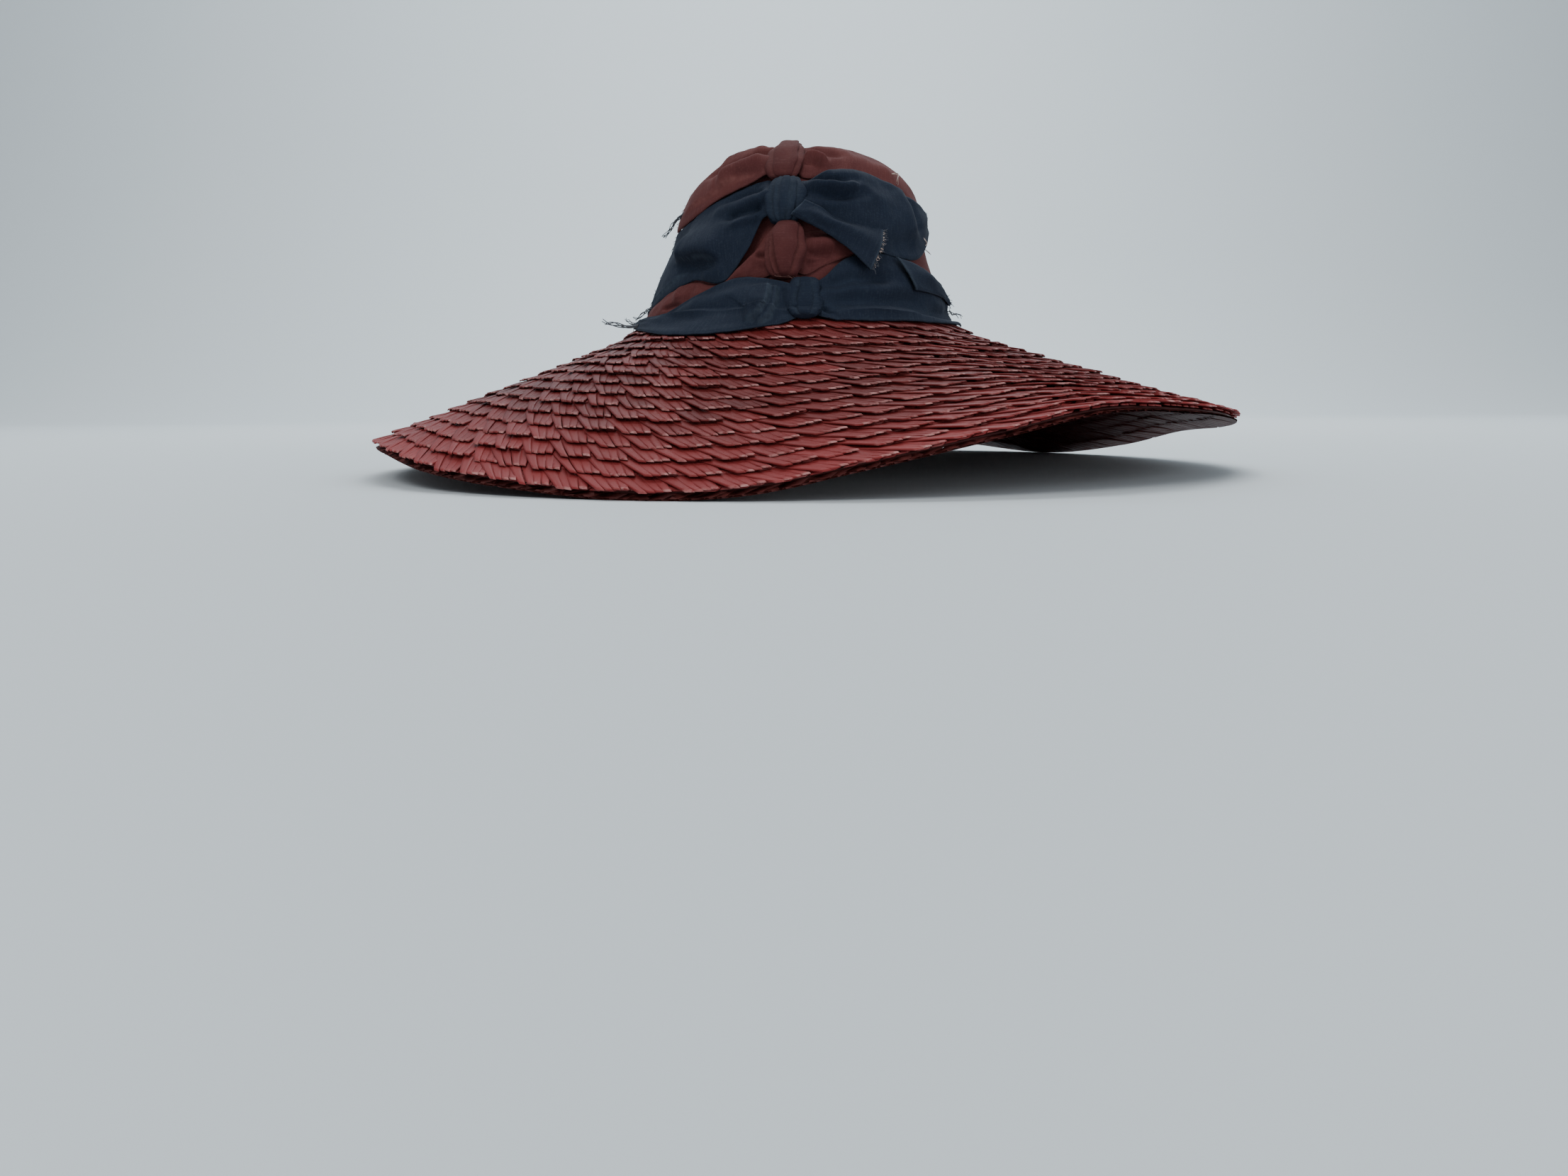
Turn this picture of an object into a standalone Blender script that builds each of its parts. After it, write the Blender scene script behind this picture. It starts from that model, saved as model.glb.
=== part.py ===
"""A wide-brimmed hat of plaited straw with four crepe bows tied one above another up the front of its crown.

Metres, +Z up, the hat's front towards -Y. The hat stands on the three low places of its wavy brim, with the
crown's axis at the origin. Angles run in degrees from the front, positive towards +X.
"""

import bmesh
import bpy
import numpy as np

# Straw brim
BRIM_RADIUS = 0.2220  # crown axis to the tips of the edge's teeth
WAVE_HEIGHT = 0.0300  # how far the edge lifts from the surface it rests on
CROWN_LIFT = 0.0710  # height of the crown's foot above that surface
FOOT_DROP = 0.0040  # how far the brim falls away at the crown's foot before it runs straight
PLAIT_ROWS = 15
PLAIT_BODY = 0.0011  # thinnest place of the straw, under a row's inner side
PLAIT_STEP = 0.0012  # how much a row's outer edge stands over the next row
RISER_RUN = 0.0003
TEETH = 84
TOOTH_DEPTH = 0.0045
TOOTH_TIP = 0.35  # where a tooth's tip stands, as a share of the way from one notch to the next
STRAW_WALL = 0.0015  # the collar
COLLAR_SLACK = 0.0016  # air between the collar and the cloth of the crown
COLLAR_SHARE = 0.10  # how far the straw runs up inside the crown, as a share of the crown's rise along its face

# Cloth crown
CROWN_HALF_WIDTH = 0.0820
CROWN_HALF_DEPTH = 0.0950
CROWN_HEIGHT = 0.0910
CROWN_LEAN = 0.0040  # the top's lean towards +X
CROWN_WALL = 0.0015

# Crepe bows
CREPE_WALL = 0.0012
KNOT_HEIGHT = 0.0085
KNOT_END = 0.62  # width of a knot's ends as a share of its middle's
KNOT_CORNER = 0.7  # 1 makes a knot's section an ellipse, less makes its sides squarer
PUFF_HEIGHT = 0.0060
PLEAT_HEIGHT = 0.0010
PLY_GAP = 0.0010  # air between one ply of crepe and the next
PIECE_GAP = 0.0003

# Fineness
BRIM_SEGMENTS = 2 * TEETH // 3
CROWN_SEGMENTS = 40
CROWN_RINGS = 8
UNDERSIDE_RINGS = 8
UNDERSIDE_START = 0.02  # share of the brim at which its underside meets the collar
WING_CELLS = (12, 6)
KNOT_CELLS = (12, 7)
TURN_STEP = 0.5  # degrees to each side from which a face's direction is found
ALONG_STEP = 0.02  # the same up the crown's face or out on the brim
FOOT_BEND = 0.06  # share of the brim over which it falls away at the foot
FOOT_FADE = 0.03  # share of the crown's face over which what lies on the straw comes down to the cloth

# The edge: how high it lifts as a share of the wave, how far it reaches as a share of the radius, and how much
# the brim arches up (above zero) or hollows (below zero) on the way to it.
EDGE_ROWS = (
    {"angle": -158, "lift": 0.20, "reach": 0.988, "arch": 0.15},
    {"angle": -130, "lift": 0.00, "reach": 0.986, "arch": 0.15},
    {"angle": -105, "lift": 0.20, "reach": 0.975, "arch": 0.05},
    {"angle": -85, "lift": 0.40, "reach": 0.970, "arch": 0.00},
    {"angle": -70, "lift": 0.48, "reach": 0.974, "arch": 0.02},
    {"angle": -57, "lift": 0.44, "reach": 0.985, "arch": 0.08},
    {"angle": -44, "lift": 0.25, "reach": 0.996, "arch": 0.14},
    {"angle": -30, "lift": 0.10, "reach": 1.000, "arch": 0.15},
    {"angle": -15, "lift": 0.00, "reach": 1.000, "arch": 0.12},
    {"angle": -5, "lift": 0.08, "reach": 1.000, "arch": 0.10},
    {"angle": 5, "lift": 0.35, "reach": 1.000, "arch": 0.00},
    {"angle": 18, "lift": 0.70, "reach": 1.000, "arch": -0.20},
    {"angle": 31, "lift": 1.00, "reach": 1.000, "arch": -0.40},
    {"angle": 45, "lift": 0.98, "reach": 1.000, "arch": -0.38},
    {"angle": 65, "lift": 0.83, "reach": 1.000, "arch": 0.00},
    {"angle": 82, "lift": 0.68, "reach": 0.995, "arch": 0.15},
    {"angle": 98, "lift": 0.55, "reach": 0.991, "arch": 0.18},
    {"angle": 113, "lift": 0.23, "reach": 0.991, "arch": 0.15},
    {"angle": 130, "lift": 0.00, "reach": 0.991, "arch": 0.15},
    {"angle": 148, "lift": 0.18, "reach": 0.990, "arch": 0.15},
    {"angle": 174, "lift": 0.36, "reach": 0.992, "arch": 0.15},
)

# The crown's face from its foot (0) to its top (1): height as a share of the crown's height, width as a share
# of its half width.
CROWN_ROWS = (
    {"along": 0.00, "height": 0.000, "width": 1.000},
    {"along": 0.10, "height": 0.110, "width": 0.940},
    {"along": 0.22, "height": 0.260, "width": 0.875},
    {"along": 0.36, "height": 0.450, "width": 0.800},
    {"along": 0.50, "height": 0.635, "width": 0.745},
    {"along": 0.62, "height": 0.775, "width": 0.660},
    {"along": 0.74, "height": 0.885, "width": 0.510},
    {"along": 0.86, "height": 0.960, "width": 0.310},
    {"along": 1.00, "height": 1.000, "width": 0.000},
)

# Each wing of crepe, a row for each station from the knot outwards: the angle and the place up the crown's face
# of its lower and its upper edge (below zero it lies out on the brim), and its puff as a share of the puff height.
WINGS = {
    "middle_bow_left": (
        {"low_angle": -13.5, "low": 0.185, "high_angle": -13.5, "high": 0.370, "puff": 0.45},
        {"low_angle": -22, "low": 0.155, "high_angle": -20, "high": 0.265, "puff": 0.60},
        {"low_angle": -31, "low": 0.140, "high_angle": -29, "high": 0.175, "puff": 0.05},
        {"low_angle": -44, "low": 0.062, "high_angle": -43, "high": 0.205, "puff": 0.30},
        {"low_angle": -58, "low": 0.012, "high_angle": -56, "high": 0.170, "puff": 0.25},
        {"low_angle": -76, "low": 0.010, "high_angle": -73, "high": 0.095, "puff": 0.10},
    ),
    "middle_bow_right": (
        {"low_angle": 1.5, "low": 0.190, "high_angle": 1.5, "high": 0.365, "puff": 0.45},
        {"low_angle": 9, "low": 0.235, "high_angle": 10, "high": 0.365, "puff": 0.70},
        {"low_angle": 20, "low": 0.275, "high_angle": 21, "high": 0.340, "puff": 0.10},
    ),
    "lower_bow_left": (
        {"low_angle": -5, "low": -0.040, "high_angle": -5, "high": 0.150, "puff": 0.40},
        {"low_angle": -14, "low": -0.060, "high_angle": -14, "high": 0.172, "puff": 0.60},
        {"low_angle": -26, "low": -0.085, "high_angle": -24, "high": 0.172, "puff": 0.50},
        {"low_angle": -40, "low": -0.085, "high_angle": -38, "high": 0.110, "puff": 0.35},
        {"low_angle": -58, "low": -0.065, "high_angle": -54, "high": 0.020, "puff": 0.10},
        {"low_angle": -76, "low": -0.050, "high_angle": -72, "high": -0.008, "puff": 0.00},
    ),
    "lower_bow_right": (
        {"low_angle": 8, "low": -0.010, "high_angle": 8, "high": 0.180, "puff": 0.35},
        {"low_angle": 18, "low": -0.025, "high_angle": 17, "high": 0.255, "puff": 0.60},
        {"low_angle": 34, "low": -0.022, "high_angle": 34, "high": 0.265, "puff": 0.50},
        {"low_angle": 52, "low": -0.018, "high_angle": 50, "high": 0.245, "puff": 0.40},
        {"low_angle": 68, "low": -0.015, "high_angle": 66, "high": 0.195, "puff": 0.10},
        {"low_angle": 80, "low": -0.012, "high_angle": 80, "high": 0.175, "puff": 0.00},
    ),
    "upper_bow_left": (
        {"low_angle": -15.8, "low": 0.395, "high_angle": -15.8, "high": 0.550, "puff": 0.35},
        {"low_angle": -20, "low": 0.290, "high_angle": -23, "high": 0.545, "puff": 0.60},
        {"low_angle": -28, "low": 0.165, "high_angle": -34, "high": 0.520, "puff": 0.75},
        {"low_angle": -42, "low": 0.185, "high_angle": -46, "high": 0.470, "puff": 0.55},
        {"low_angle": -58, "low": 0.140, "high_angle": -60, "high": 0.410, "puff": 0.25},
        {"low_angle": -74, "low": 0.070, "high_angle": -78, "high": 0.370, "puff": 0.05},
    ),
    "upper_bow_right": (
        {"low_angle": 1.0, "low": 0.400, "high_angle": 1.0, "high": 0.555, "puff": 0.40},
        {"low_angle": 12, "low": 0.385, "high_angle": 12, "high": 0.590, "puff": 0.85},
        {"low_angle": 26, "low": 0.300, "high_angle": 26, "high": 0.600, "puff": 0.65},
        {"low_angle": 42, "low": 0.275, "high_angle": 42, "high": 0.565, "puff": 0.40},
        {"low_angle": 54, "low": 0.285, "high_angle": 60, "high": 0.525, "puff": 0.20},
        {"low_angle": 74, "low": 0.400, "high_angle": 80, "high": 0.500, "puff": 0.00},
    ),
    "top_bow_left": (
        {"low_angle": -19.5, "low": 0.575, "high_angle": -22, "high": 0.800, "puff": 0.40},
        {"low_angle": -26, "low": 0.535, "high_angle": -34, "high": 0.830, "puff": 0.35},
        {"low_angle": -40, "low": 0.480, "high_angle": -48, "high": 0.830, "puff": 0.25},
        {"low_angle": -56, "low": 0.410, "high_angle": -64, "high": 0.780, "puff": 0.15},
        {"low_angle": -74, "low": 0.365, "high_angle": -82, "high": 0.680, "puff": 0.05},
    ),
    "top_bow_right": (
        {"low_angle": 0.5, "low": 0.575, "high_angle": 3, "high": 0.800, "puff": 0.40},
        {"low_angle": 14, "low": 0.585, "high_angle": 22, "high": 0.830, "puff": 0.60},
        {"low_angle": 30, "low": 0.590, "high_angle": 40, "high": 0.830, "puff": 0.35},
        {"low_angle": 52, "low": 0.530, "high_angle": 62, "high": 0.770, "puff": 0.20},
        {"low_angle": 82, "low": 0.490, "high_angle": 86, "high": 0.640, "puff": 0.10},
    ),
    "upper_bow_tail": (
        {"low_angle": 3, "low": 0.385, "high_angle": 3, "high": 0.470, "puff": 0.10},
        {"low_angle": 10, "low": 0.315, "high_angle": 13, "high": 0.460, "puff": 0.40},
        {"low_angle": 18, "low": 0.260, "high_angle": 25, "high": 0.440, "puff": 0.30},
        {"low_angle": 26, "low": 0.205, "high_angle": 38, "high": 0.385, "puff": 0.10},
    ),
    "lower_bow_tail": (
        {"low_angle": 45, "low": 0.130, "high_angle": 40, "high": 0.250, "puff": 0.10},
        {"low_angle": 54, "low": 0.120, "high_angle": 50, "high": 0.235, "puff": 0.15},
        {"low_angle": 64, "low": 0.110, "high_angle": 61, "high": 0.195, "puff": 0.10},
        {"low_angle": 74, "low": 0.100, "high_angle": 72, "high": 0.170, "puff": 0.00},
    ),
}

# How many plies of crepe lie under each wing, at its lower and at its upper edge near the knot, the share of them
# that is left at its far end, and the pleats at its knot.
PLIES = {
    "middle_bow_left": {"low": 0.0, "high": 0.0, "far": 1.0, "pleats": 1.0},
    "middle_bow_right": {"low": 0.0, "high": 0.0, "far": 1.0, "pleats": 1.0},
    "lower_bow_left": {"low": 0.0, "high": 1.7, "far": 0.7, "pleats": 1.5},
    "lower_bow_right": {"low": 0.0, "high": 1.0, "far": 0.1, "pleats": 1.5},
    "upper_bow_left": {"low": 1.8, "high": 0.0, "far": 0.5, "pleats": 2.0},
    "upper_bow_right": {"low": 1.2, "high": 1.2, "far": 0.75, "pleats": 1.5},
    "top_bow_left": {"low": 1.0, "high": 0.0, "far": 0.8, "pleats": 1.5},
    "top_bow_right": {"low": 0.0, "high": 0.0, "far": 1.0, "pleats": 1.5},
    "upper_bow_tail": {"low": 3.95, "high": 4.35, "far": 0.80, "pleats": 0.0},
    "lower_bow_tail": {"low": 2.2, "high": 2.0, "far": 0.5, "pleats": 0.0},
}

# Each knot: its middle and half width in degrees round the crown, and its ends up the crown's face.
KNOTS = {
    "lower_bow_knot": {"angle": 1.5, "half": 5.5, "low": -0.015, "high": 0.165, "height": 0.65},
    "middle_bow_knot": {"angle": -6.0, "half": 6.6, "low": 0.182, "high": 0.372, "height": 1.00},
    "upper_bow_knot": {"angle": -7.4, "half": 7.6, "low": 0.392, "high": 0.552, "height": 0.85},
    "top_bow_knot": {"angle": -9.6, "half": 9.2, "low": 0.575, "high": 0.800, "height": 0.75},
}

STRAW = {"name": "red_straw", "colour": (0.165, 0.036, 0.032, 1.0), "roughness": 0.42}
RUST = {"name": "rust_crepe", "colour": (0.150, 0.040, 0.034, 1.0), "roughness": 0.90}
NAVY = {"name": "navy_crepe", "colour": (0.012, 0.018, 0.034, 1.0), "roughness": 0.90}


def column(rows, name):
    """One named column of a table, as an array."""
    return np.array([row[name] for row in rows], float)


def smooth(xs, ys, x):
    """A cubic through the points whose slopes are those of a parabola through each three of them."""
    xs, ys, x = np.asarray(xs, float), np.asarray(ys, float), np.asarray(x, float)
    steps = np.diff(xs)
    chords = np.diff(ys) / steps
    slopes = np.empty_like(ys)
    slopes[1:-1] = (chords[:-1] * steps[1:] + chords[1:] * steps[:-1]) / (steps[1:] + steps[:-1])
    slopes[0], slopes[-1] = chords[0], chords[-1]
    i = np.clip(np.searchsorted(xs, x, side="right") - 1, 0, len(xs) - 2)
    h = steps[i]
    t = (x - xs[i]) / h
    rise = ys[i] * (2 * t**3 - 3 * t**2 + 1) + ys[i + 1] * (3 * t**2 - 2 * t**3)
    return rise + h * (slopes[i] * (t**3 - 2 * t**2 + t) + slopes[i + 1] * (t**3 - t**2))


def edge_value(name, angle):
    """A column of the edge's table at an angle, carried smoothly round the brim."""
    angles, values = column(EDGE_ROWS, "angle"), column(EDGE_ROWS, name)
    turn = 360.0
    angles = np.concatenate([angles - turn, angles, angles + turn])
    return smooth(angles, np.tile(values, 3), (np.asarray(angle, float) + turn / 2) % turn - turn / 2)


def crown_point(angle, along, inset=0.0):
    """A point on the crown's outer face, or that far inside it. The crown is an oval at every height."""
    width = smooth(column(CROWN_ROWS, "along"), column(CROWN_ROWS, "width"), along)
    height = smooth(column(CROWN_ROWS, "along"), column(CROWN_ROWS, "height"), along)
    turn = np.radians(angle)
    x = CROWN_LEAN * height + (CROWN_HALF_WIDTH - inset) * width * np.sin(turn)
    y = -(CROWN_HALF_DEPTH - inset) * width * np.cos(turn)
    return np.stack([x, y, CROWN_LIFT + CROWN_HEIGHT * height + 0 * turn], -1)


def brim_point(angle, out):
    """A point on the brim's middle face: out runs from the crown's foot (0) to the edge (1)."""
    turn = np.radians(angle)
    reach = BRIM_RADIUS * edge_value("reach", angle)
    edge = PLAIT_BODY / 2 + WAVE_HEIGHT * edge_value("lift", angle)
    fall = out - edge_value("arch", angle) * out * (1 - out)
    bend = FOOT_DROP * (1 - np.exp(-out / FOOT_BEND)) * (1 - out)
    x = (CROWN_HALF_WIDTH + (reach - CROWN_HALF_WIDTH) * out) * np.sin(turn)
    y = -(CROWN_HALF_DEPTH + (reach - CROWN_HALF_DEPTH) * out) * np.cos(turn)
    return np.stack([x, y, CROWN_LIFT + (edge - CROWN_LIFT) * fall - bend], -1)


def hat_point(angle, along):
    """A point on the crown's face, or for a negative place on the brim in front of it."""
    on_crown = crown_point(angle, np.clip(along, 0, 1))
    on_brim = brim_point(angle, np.clip(-along, 0, 1))
    return np.where((along >= 0)[..., None], on_crown, on_brim)


def normals(point, angle, along, step=ALONG_STEP):
    """Outward directions of a face, from the change of its point round and along it. The step is negative where
    the place runs outwards from the crown instead of up it."""
    across = point(angle + TURN_STEP, along) - point(angle - TURN_STEP, along)
    up = point(angle, along + step) - point(angle, along - step)
    out = np.cross(across, up)
    return out / np.linalg.norm(out, axis=-1, keepdims=True)


def over_brim(angle, out, lift):
    """Points that far over the brim's middle face, or under it for a negative lift."""
    return brim_point(angle, out) + normals(brim_point, angle, out, step=-ALONG_STEP) * lift


def over_hat(angle, along, lift):
    """Points that far over the hat: over the crown's cloth, or over the rows of straw in front of its foot."""
    straw = (PLAIT_BODY / 2 + PLAIT_STEP) * np.clip(1 - along / FOOT_FADE, 0, 1)
    return hat_point(angle, along) + normals(hat_point, angle, along) * (lift + straw)[..., None]


def add_object(name, points, faces, look):
    """A mesh object from an array of points and lists of corners, with its material."""
    mesh = bpy.data.meshes.new(name)
    mesh.from_pydata(points.reshape(-1, 3).tolist(), [], faces)
    mesh.validate()
    piece = bpy.data.objects.new(name, mesh)
    bpy.context.scene.collection.children["straw_hat"].objects.link(piece)
    piece.data.materials.append(material(name, look))
    return piece


def material(name, look):
    """The piece's own Principled material."""
    made = bpy.data.materials.new(f"{name}_{look['name']}")
    made.use_nodes = True
    shader = made.node_tree.nodes["Principled BSDF"]
    shader.inputs["Base Color"].default_value = look["colour"]
    shader.inputs["Roughness"].default_value = look["roughness"]
    shader.inputs["Metallic"].default_value = 0.0
    return made


def grid_faces(rows, columns, closed=False):
    """Corners of the cells of a grid whose points run row by row, closed round its columns if asked."""
    across = columns if closed else columns - 1
    faces = []
    for i in range(rows - 1):
        for j in range(across):
            k = (j + 1) % columns
            faces.append((i * columns + j, i * columns + k, (i + 1) * columns + k, (i + 1) * columns + j))
    return faces


def thicken(piece, wall, outwards):
    """Gives an open face its wall, on its outer or its inner side."""
    solidify = piece.modifiers.new("wall", "SOLIDIFY")
    solidify.thickness = wall
    solidify.offset = 1.0 if outwards else -1.0
    solidify.use_even_offset = False
    solidify.use_rim = True


def join_rings(rings):
    """Points and corners of a closed band through rings of points, whose last ring joins the first."""
    starts = np.cumsum([0] + [len(ring) for ring in rings])
    faces = []
    for i in range(len(rings)):
        j = (i + 1) % len(rings)
        faces += ring_band(starts[i], len(rings[i]), starts[j], len(rings[j]))
    return np.concatenate(rings), faces


def ring_band(first, count, second, other):
    """Corners of the cells between two rings, each given by its first point and its count. Rings that differ in
    their count are joined by triangles, each of which steps along the ring that is further behind."""
    if count == other:
        return [(first + j, first + (j + 1) % count, second + (j + 1) % count, second + j) for j in range(count)]
    faces = []
    j = k = 0
    while j < count or k < other:
        here, there = first + j % count, second + k % other
        if (2 * j + 1) * other <= (2 * k + 1) * count:
            j += 1
            faces.append((here, first + j % count, there))
        else:
            k += 1
            faces.append((here, second + k % other, there))
    return faces


def brim():
    """The straw brim: rows of plait like shingles, each row's outer edge over the next, a toothed outer edge,
    and a collar that runs up inside the crown."""
    angle = np.arange(BRIM_SEGMENTS) * 360.0 / BRIM_SEGMENTS
    inset = CROWN_WALL + COLLAR_SLACK

    def ring(out, lift):
        return over_brim(angle, np.full_like(angle, out), lift)

    def collar(along, inset):
        return crown_point(angle, np.full_like(angle, along), inset)

    row_width = 1.0 / PLAIT_ROWS
    half = PLAIT_BODY / 2
    riser = RISER_RUN / (BRIM_RADIUS - CROWN_HALF_WIDTH)
    rings = [collar(share, inset) for share in (COLLAR_SHARE, COLLAR_SHARE / 2, 0.0)]
    for row in range(PLAIT_ROWS - 1):
        rings.append(ring(row * row_width + riser, half))
        rings.append(ring((row + 1) * row_width, half + PLAIT_STEP))
    rings.append(ring(1 - row_width + riser, half))
    rings.append(toothed_edge(half + PLAIT_STEP / 2))
    rings.append(toothed_edge(-half))
    for share in np.linspace(1 - row_width, UNDERSIDE_START, UNDERSIDE_RINGS):
        rings.append(ring(share, -half))
    rings.append(collar(0.0, inset + STRAW_WALL) - np.array([0, 0, PLAIT_BODY]))
    rings += [collar(share, inset + STRAW_WALL) for share in (COLLAR_SHARE / 2, COLLAR_SHARE)]
    points, faces = join_rings(rings)
    return add_object("brim", points, faces, STRAW)


def toothed_edge(lift):
    """The ring of the outer edge: tooth by tooth a long run out to the tip and a short one back to the notch."""
    tooth, at_tip = np.divmod(np.arange(2 * TEETH), 2)
    angle = (tooth + TOOTH_TIP * at_tip) * 360.0 / TEETH
    notch = 1 - TOOTH_DEPTH / (BRIM_RADIUS - CROWN_HALF_DEPTH)
    return over_brim(angle, np.where(at_tip, 1.0, notch), lift)


def crown():
    """The cloth crown: an open face closed by its top point, with its wall on the inner side."""
    angle = np.arange(CROWN_SEGMENTS) * 360.0 / CROWN_SEGMENTS
    foot = (PLAIT_BODY / 2 + 2 * PIECE_GAP) / CROWN_HEIGHT
    rows = foot + (1 - foot) * np.arange(CROWN_RINGS) / CROWN_RINGS
    points = np.concatenate([crown_point(angle, np.full_like(angle, along)) for along in rows])
    top = len(points)
    points = np.concatenate([points, crown_point(np.zeros(1), np.ones(1))])
    faces = grid_faces(CROWN_RINGS, CROWN_SEGMENTS, closed=True)
    last = top - CROWN_SEGMENTS
    faces += [(last + j, last + (j + 1) % CROWN_SEGMENTS, top) for j in range(CROWN_SEGMENTS)]
    piece = add_object("crown", points, faces, RUST)
    thicken(piece, CROWN_WALL, outwards=False)
    return piece


def wing(name, look):
    """A wing of crepe that lies on the hat: it puffs up between its edges and has pleats that fade from the knot."""
    rows, plies = WINGS[name], PLIES[name]
    stations = np.linspace(0, 1, len(rows))
    shares = [np.linspace(0, 1, cells + 1) for cells in WING_CELLS]
    along, across = np.meshgrid(*shares, indexing="ij")
    value = {key: smooth(stations, column(rows, key), along) for key in rows[0]}
    angle = value["low_angle"] + (value["high_angle"] - value["low_angle"]) * across
    place = value["low"] + (value["high"] - value["low"]) * across
    ply = CREPE_WALL + PLY_GAP
    beneath = (plies["low"] + (plies["high"] - plies["low"]) * across) * (1 - (1 - plies["far"]) * along)
    lift = PIECE_GAP + ply * beneath
    crest = np.sin(np.pi * across) ** 2
    lift = lift + PUFF_HEIGHT * value["puff"] * crest
    pleat = 0.5 - 0.5 * np.cos(2 * np.pi * plies["pleats"] * across)
    lift = lift + PLEAT_HEIGHT * pleat * crest * (1 - along) ** 2
    points = over_hat(angle, place, lift)
    faces = grid_faces(*points.shape[:2])
    if value["low_angle"][-1, 0] > value["low_angle"][0, 0]:
        faces = [face[::-1] for face in faces]
    piece = add_object(name, points, faces, look)
    thicken(piece, CREPE_WALL, outwards=True)
    return piece


def knot(name, look):
    """A knot: a flattened tube that stands on the crown between two wings, narrower towards its ends."""
    size = KNOTS[name]
    around, along = KNOT_CELLS
    turn = np.arange(around) * 2 * np.pi / around
    share = np.linspace(0, 1, along)[:, None]
    bulge = KNOT_END + (1 - KNOT_END) * np.sin(np.pi * share) ** 0.5
    angle = size["angle"] + size["half"] * bulge * np.sign(np.cos(turn)) * np.abs(np.cos(turn)) ** KNOT_CORNER
    place = size["low"] + (size["high"] - size["low"]) * share + 0 * angle
    half = KNOT_HEIGHT * size["height"] * bulge / 2
    lift = 2 * PIECE_GAP + half * (1 + np.sin(turn))
    points = over_hat(angle, place, lift)
    faces = grid_faces(along, around, closed=True)
    last = (along - 1) * around
    faces.append(tuple(range(around))[::-1])
    faces.append(tuple(last + j for j in range(around)))
    return add_object(name, points, faces, look)


def face_out(piece):
    """Turns the faces of a piece outwards."""
    cage = bmesh.new()
    cage.from_mesh(piece.data)
    bmesh.ops.recalc_face_normals(cage, faces=cage.faces)
    cage.to_mesh(piece.data)
    cage.free()


def bow_look(name):
    """The two navy bows are the upper and the lower one."""
    return NAVY if name.startswith(("upper", "lower")) else RUST


def main():
    """Clears the scene and builds the hat's pieces."""
    for thing in list(bpy.data.objects):
        bpy.data.objects.remove(thing, do_unlink=True)
    collection = bpy.data.collections.new("straw_hat")
    bpy.context.scene.collection.children.link(collection)
    face_out(brim())
    crown()
    for name in WINGS:
        wing(name, bow_look(name))
    for name in KNOTS:
        face_out(knot(name, bow_look(name)))
    for piece in collection.objects:
        piece.data.shade_smooth()


main()
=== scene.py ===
"""Dresses a wide-brimmed hat: a brim of plaited straw, a crepe crown, and four crepe bows up its front.

Metres, +Z up, the hat's front towards -Y. Angles run in degrees from the front, positive towards +X. A place
on the crown's face runs from its foot (0) to its top (1), and a place on the brim from the foot (0) to the
edge (1).
"""

from __future__ import annotations

import logging
import math
from collections.abc import Callable
from dataclasses import dataclass, field
from enum import Enum
from typing import Union

import bpy
import numpy as np
from mathutils import Matrix


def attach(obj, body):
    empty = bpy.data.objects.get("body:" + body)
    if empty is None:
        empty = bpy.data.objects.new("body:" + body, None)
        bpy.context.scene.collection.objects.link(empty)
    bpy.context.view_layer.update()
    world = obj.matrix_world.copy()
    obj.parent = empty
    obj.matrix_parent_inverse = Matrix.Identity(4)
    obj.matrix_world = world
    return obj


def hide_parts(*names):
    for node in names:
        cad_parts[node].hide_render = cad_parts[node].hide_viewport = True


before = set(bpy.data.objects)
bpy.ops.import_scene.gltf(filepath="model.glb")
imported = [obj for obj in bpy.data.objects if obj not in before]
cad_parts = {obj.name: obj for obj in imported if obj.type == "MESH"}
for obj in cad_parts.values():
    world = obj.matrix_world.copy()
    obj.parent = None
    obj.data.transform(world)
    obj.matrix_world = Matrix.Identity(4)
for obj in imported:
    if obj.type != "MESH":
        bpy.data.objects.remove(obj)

LOG = logging.getLogger("hat")
BODY = "root"

Pair = tuple[float, float]
Vector = tuple[float, float, float]
Colour = tuple[float, float, float, float]
Rows = tuple[tuple[float, ...], ...]
Input = Union[bpy.types.NodeSocket, float, tuple[float, ...]]
Surface = Callable[[np.ndarray, np.ndarray], np.ndarray]
Strips = tuple[np.ndarray, np.ndarray, np.ndarray, dict[str, np.ndarray]]

EDGE_COLUMNS = ("angle", "lift", "reach", "arch")
EDGE_ROWS = (
    (-158, 0.20, 0.988, 0.15),
    (-130, 0.00, 0.986, 0.15),
    (-105, 0.20, 0.975, 0.05),
    (-85, 0.40, 0.970, 0.00),
    (-70, 0.48, 0.974, 0.02),
    (-57, 0.44, 0.985, 0.08),
    (-44, 0.25, 0.996, 0.14),
    (-30, 0.10, 1.000, 0.15),
    (-15, 0.00, 1.000, 0.12),
    (-5, 0.08, 1.000, 0.10),
    (5, 0.35, 1.000, 0.00),
    (18, 0.70, 1.000, -0.20),
    (31, 1.00, 1.000, -0.40),
    (45, 0.98, 1.000, -0.38),
    (65, 0.83, 1.000, 0.00),
    (82, 0.68, 0.995, 0.15),
    (98, 0.55, 0.991, 0.18),
    (113, 0.23, 0.991, 0.15),
    (130, 0.00, 0.991, 0.15),
    (148, 0.18, 0.990, 0.15),
    (174, 0.36, 0.992, 0.15),
)

CROWN_COLUMNS = ("along", "height", "width")
CROWN_ROWS = (
    (0.00, 0.000, 1.000),
    (0.10, 0.110, 0.940),
    (0.22, 0.260, 0.875),
    (0.36, 0.450, 0.800),
    (0.50, 0.635, 0.745),
    (0.62, 0.775, 0.660),
    (0.74, 0.885, 0.510),
    (0.86, 0.960, 0.310),
    (1.00, 1.000, 0.000),
)


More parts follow.
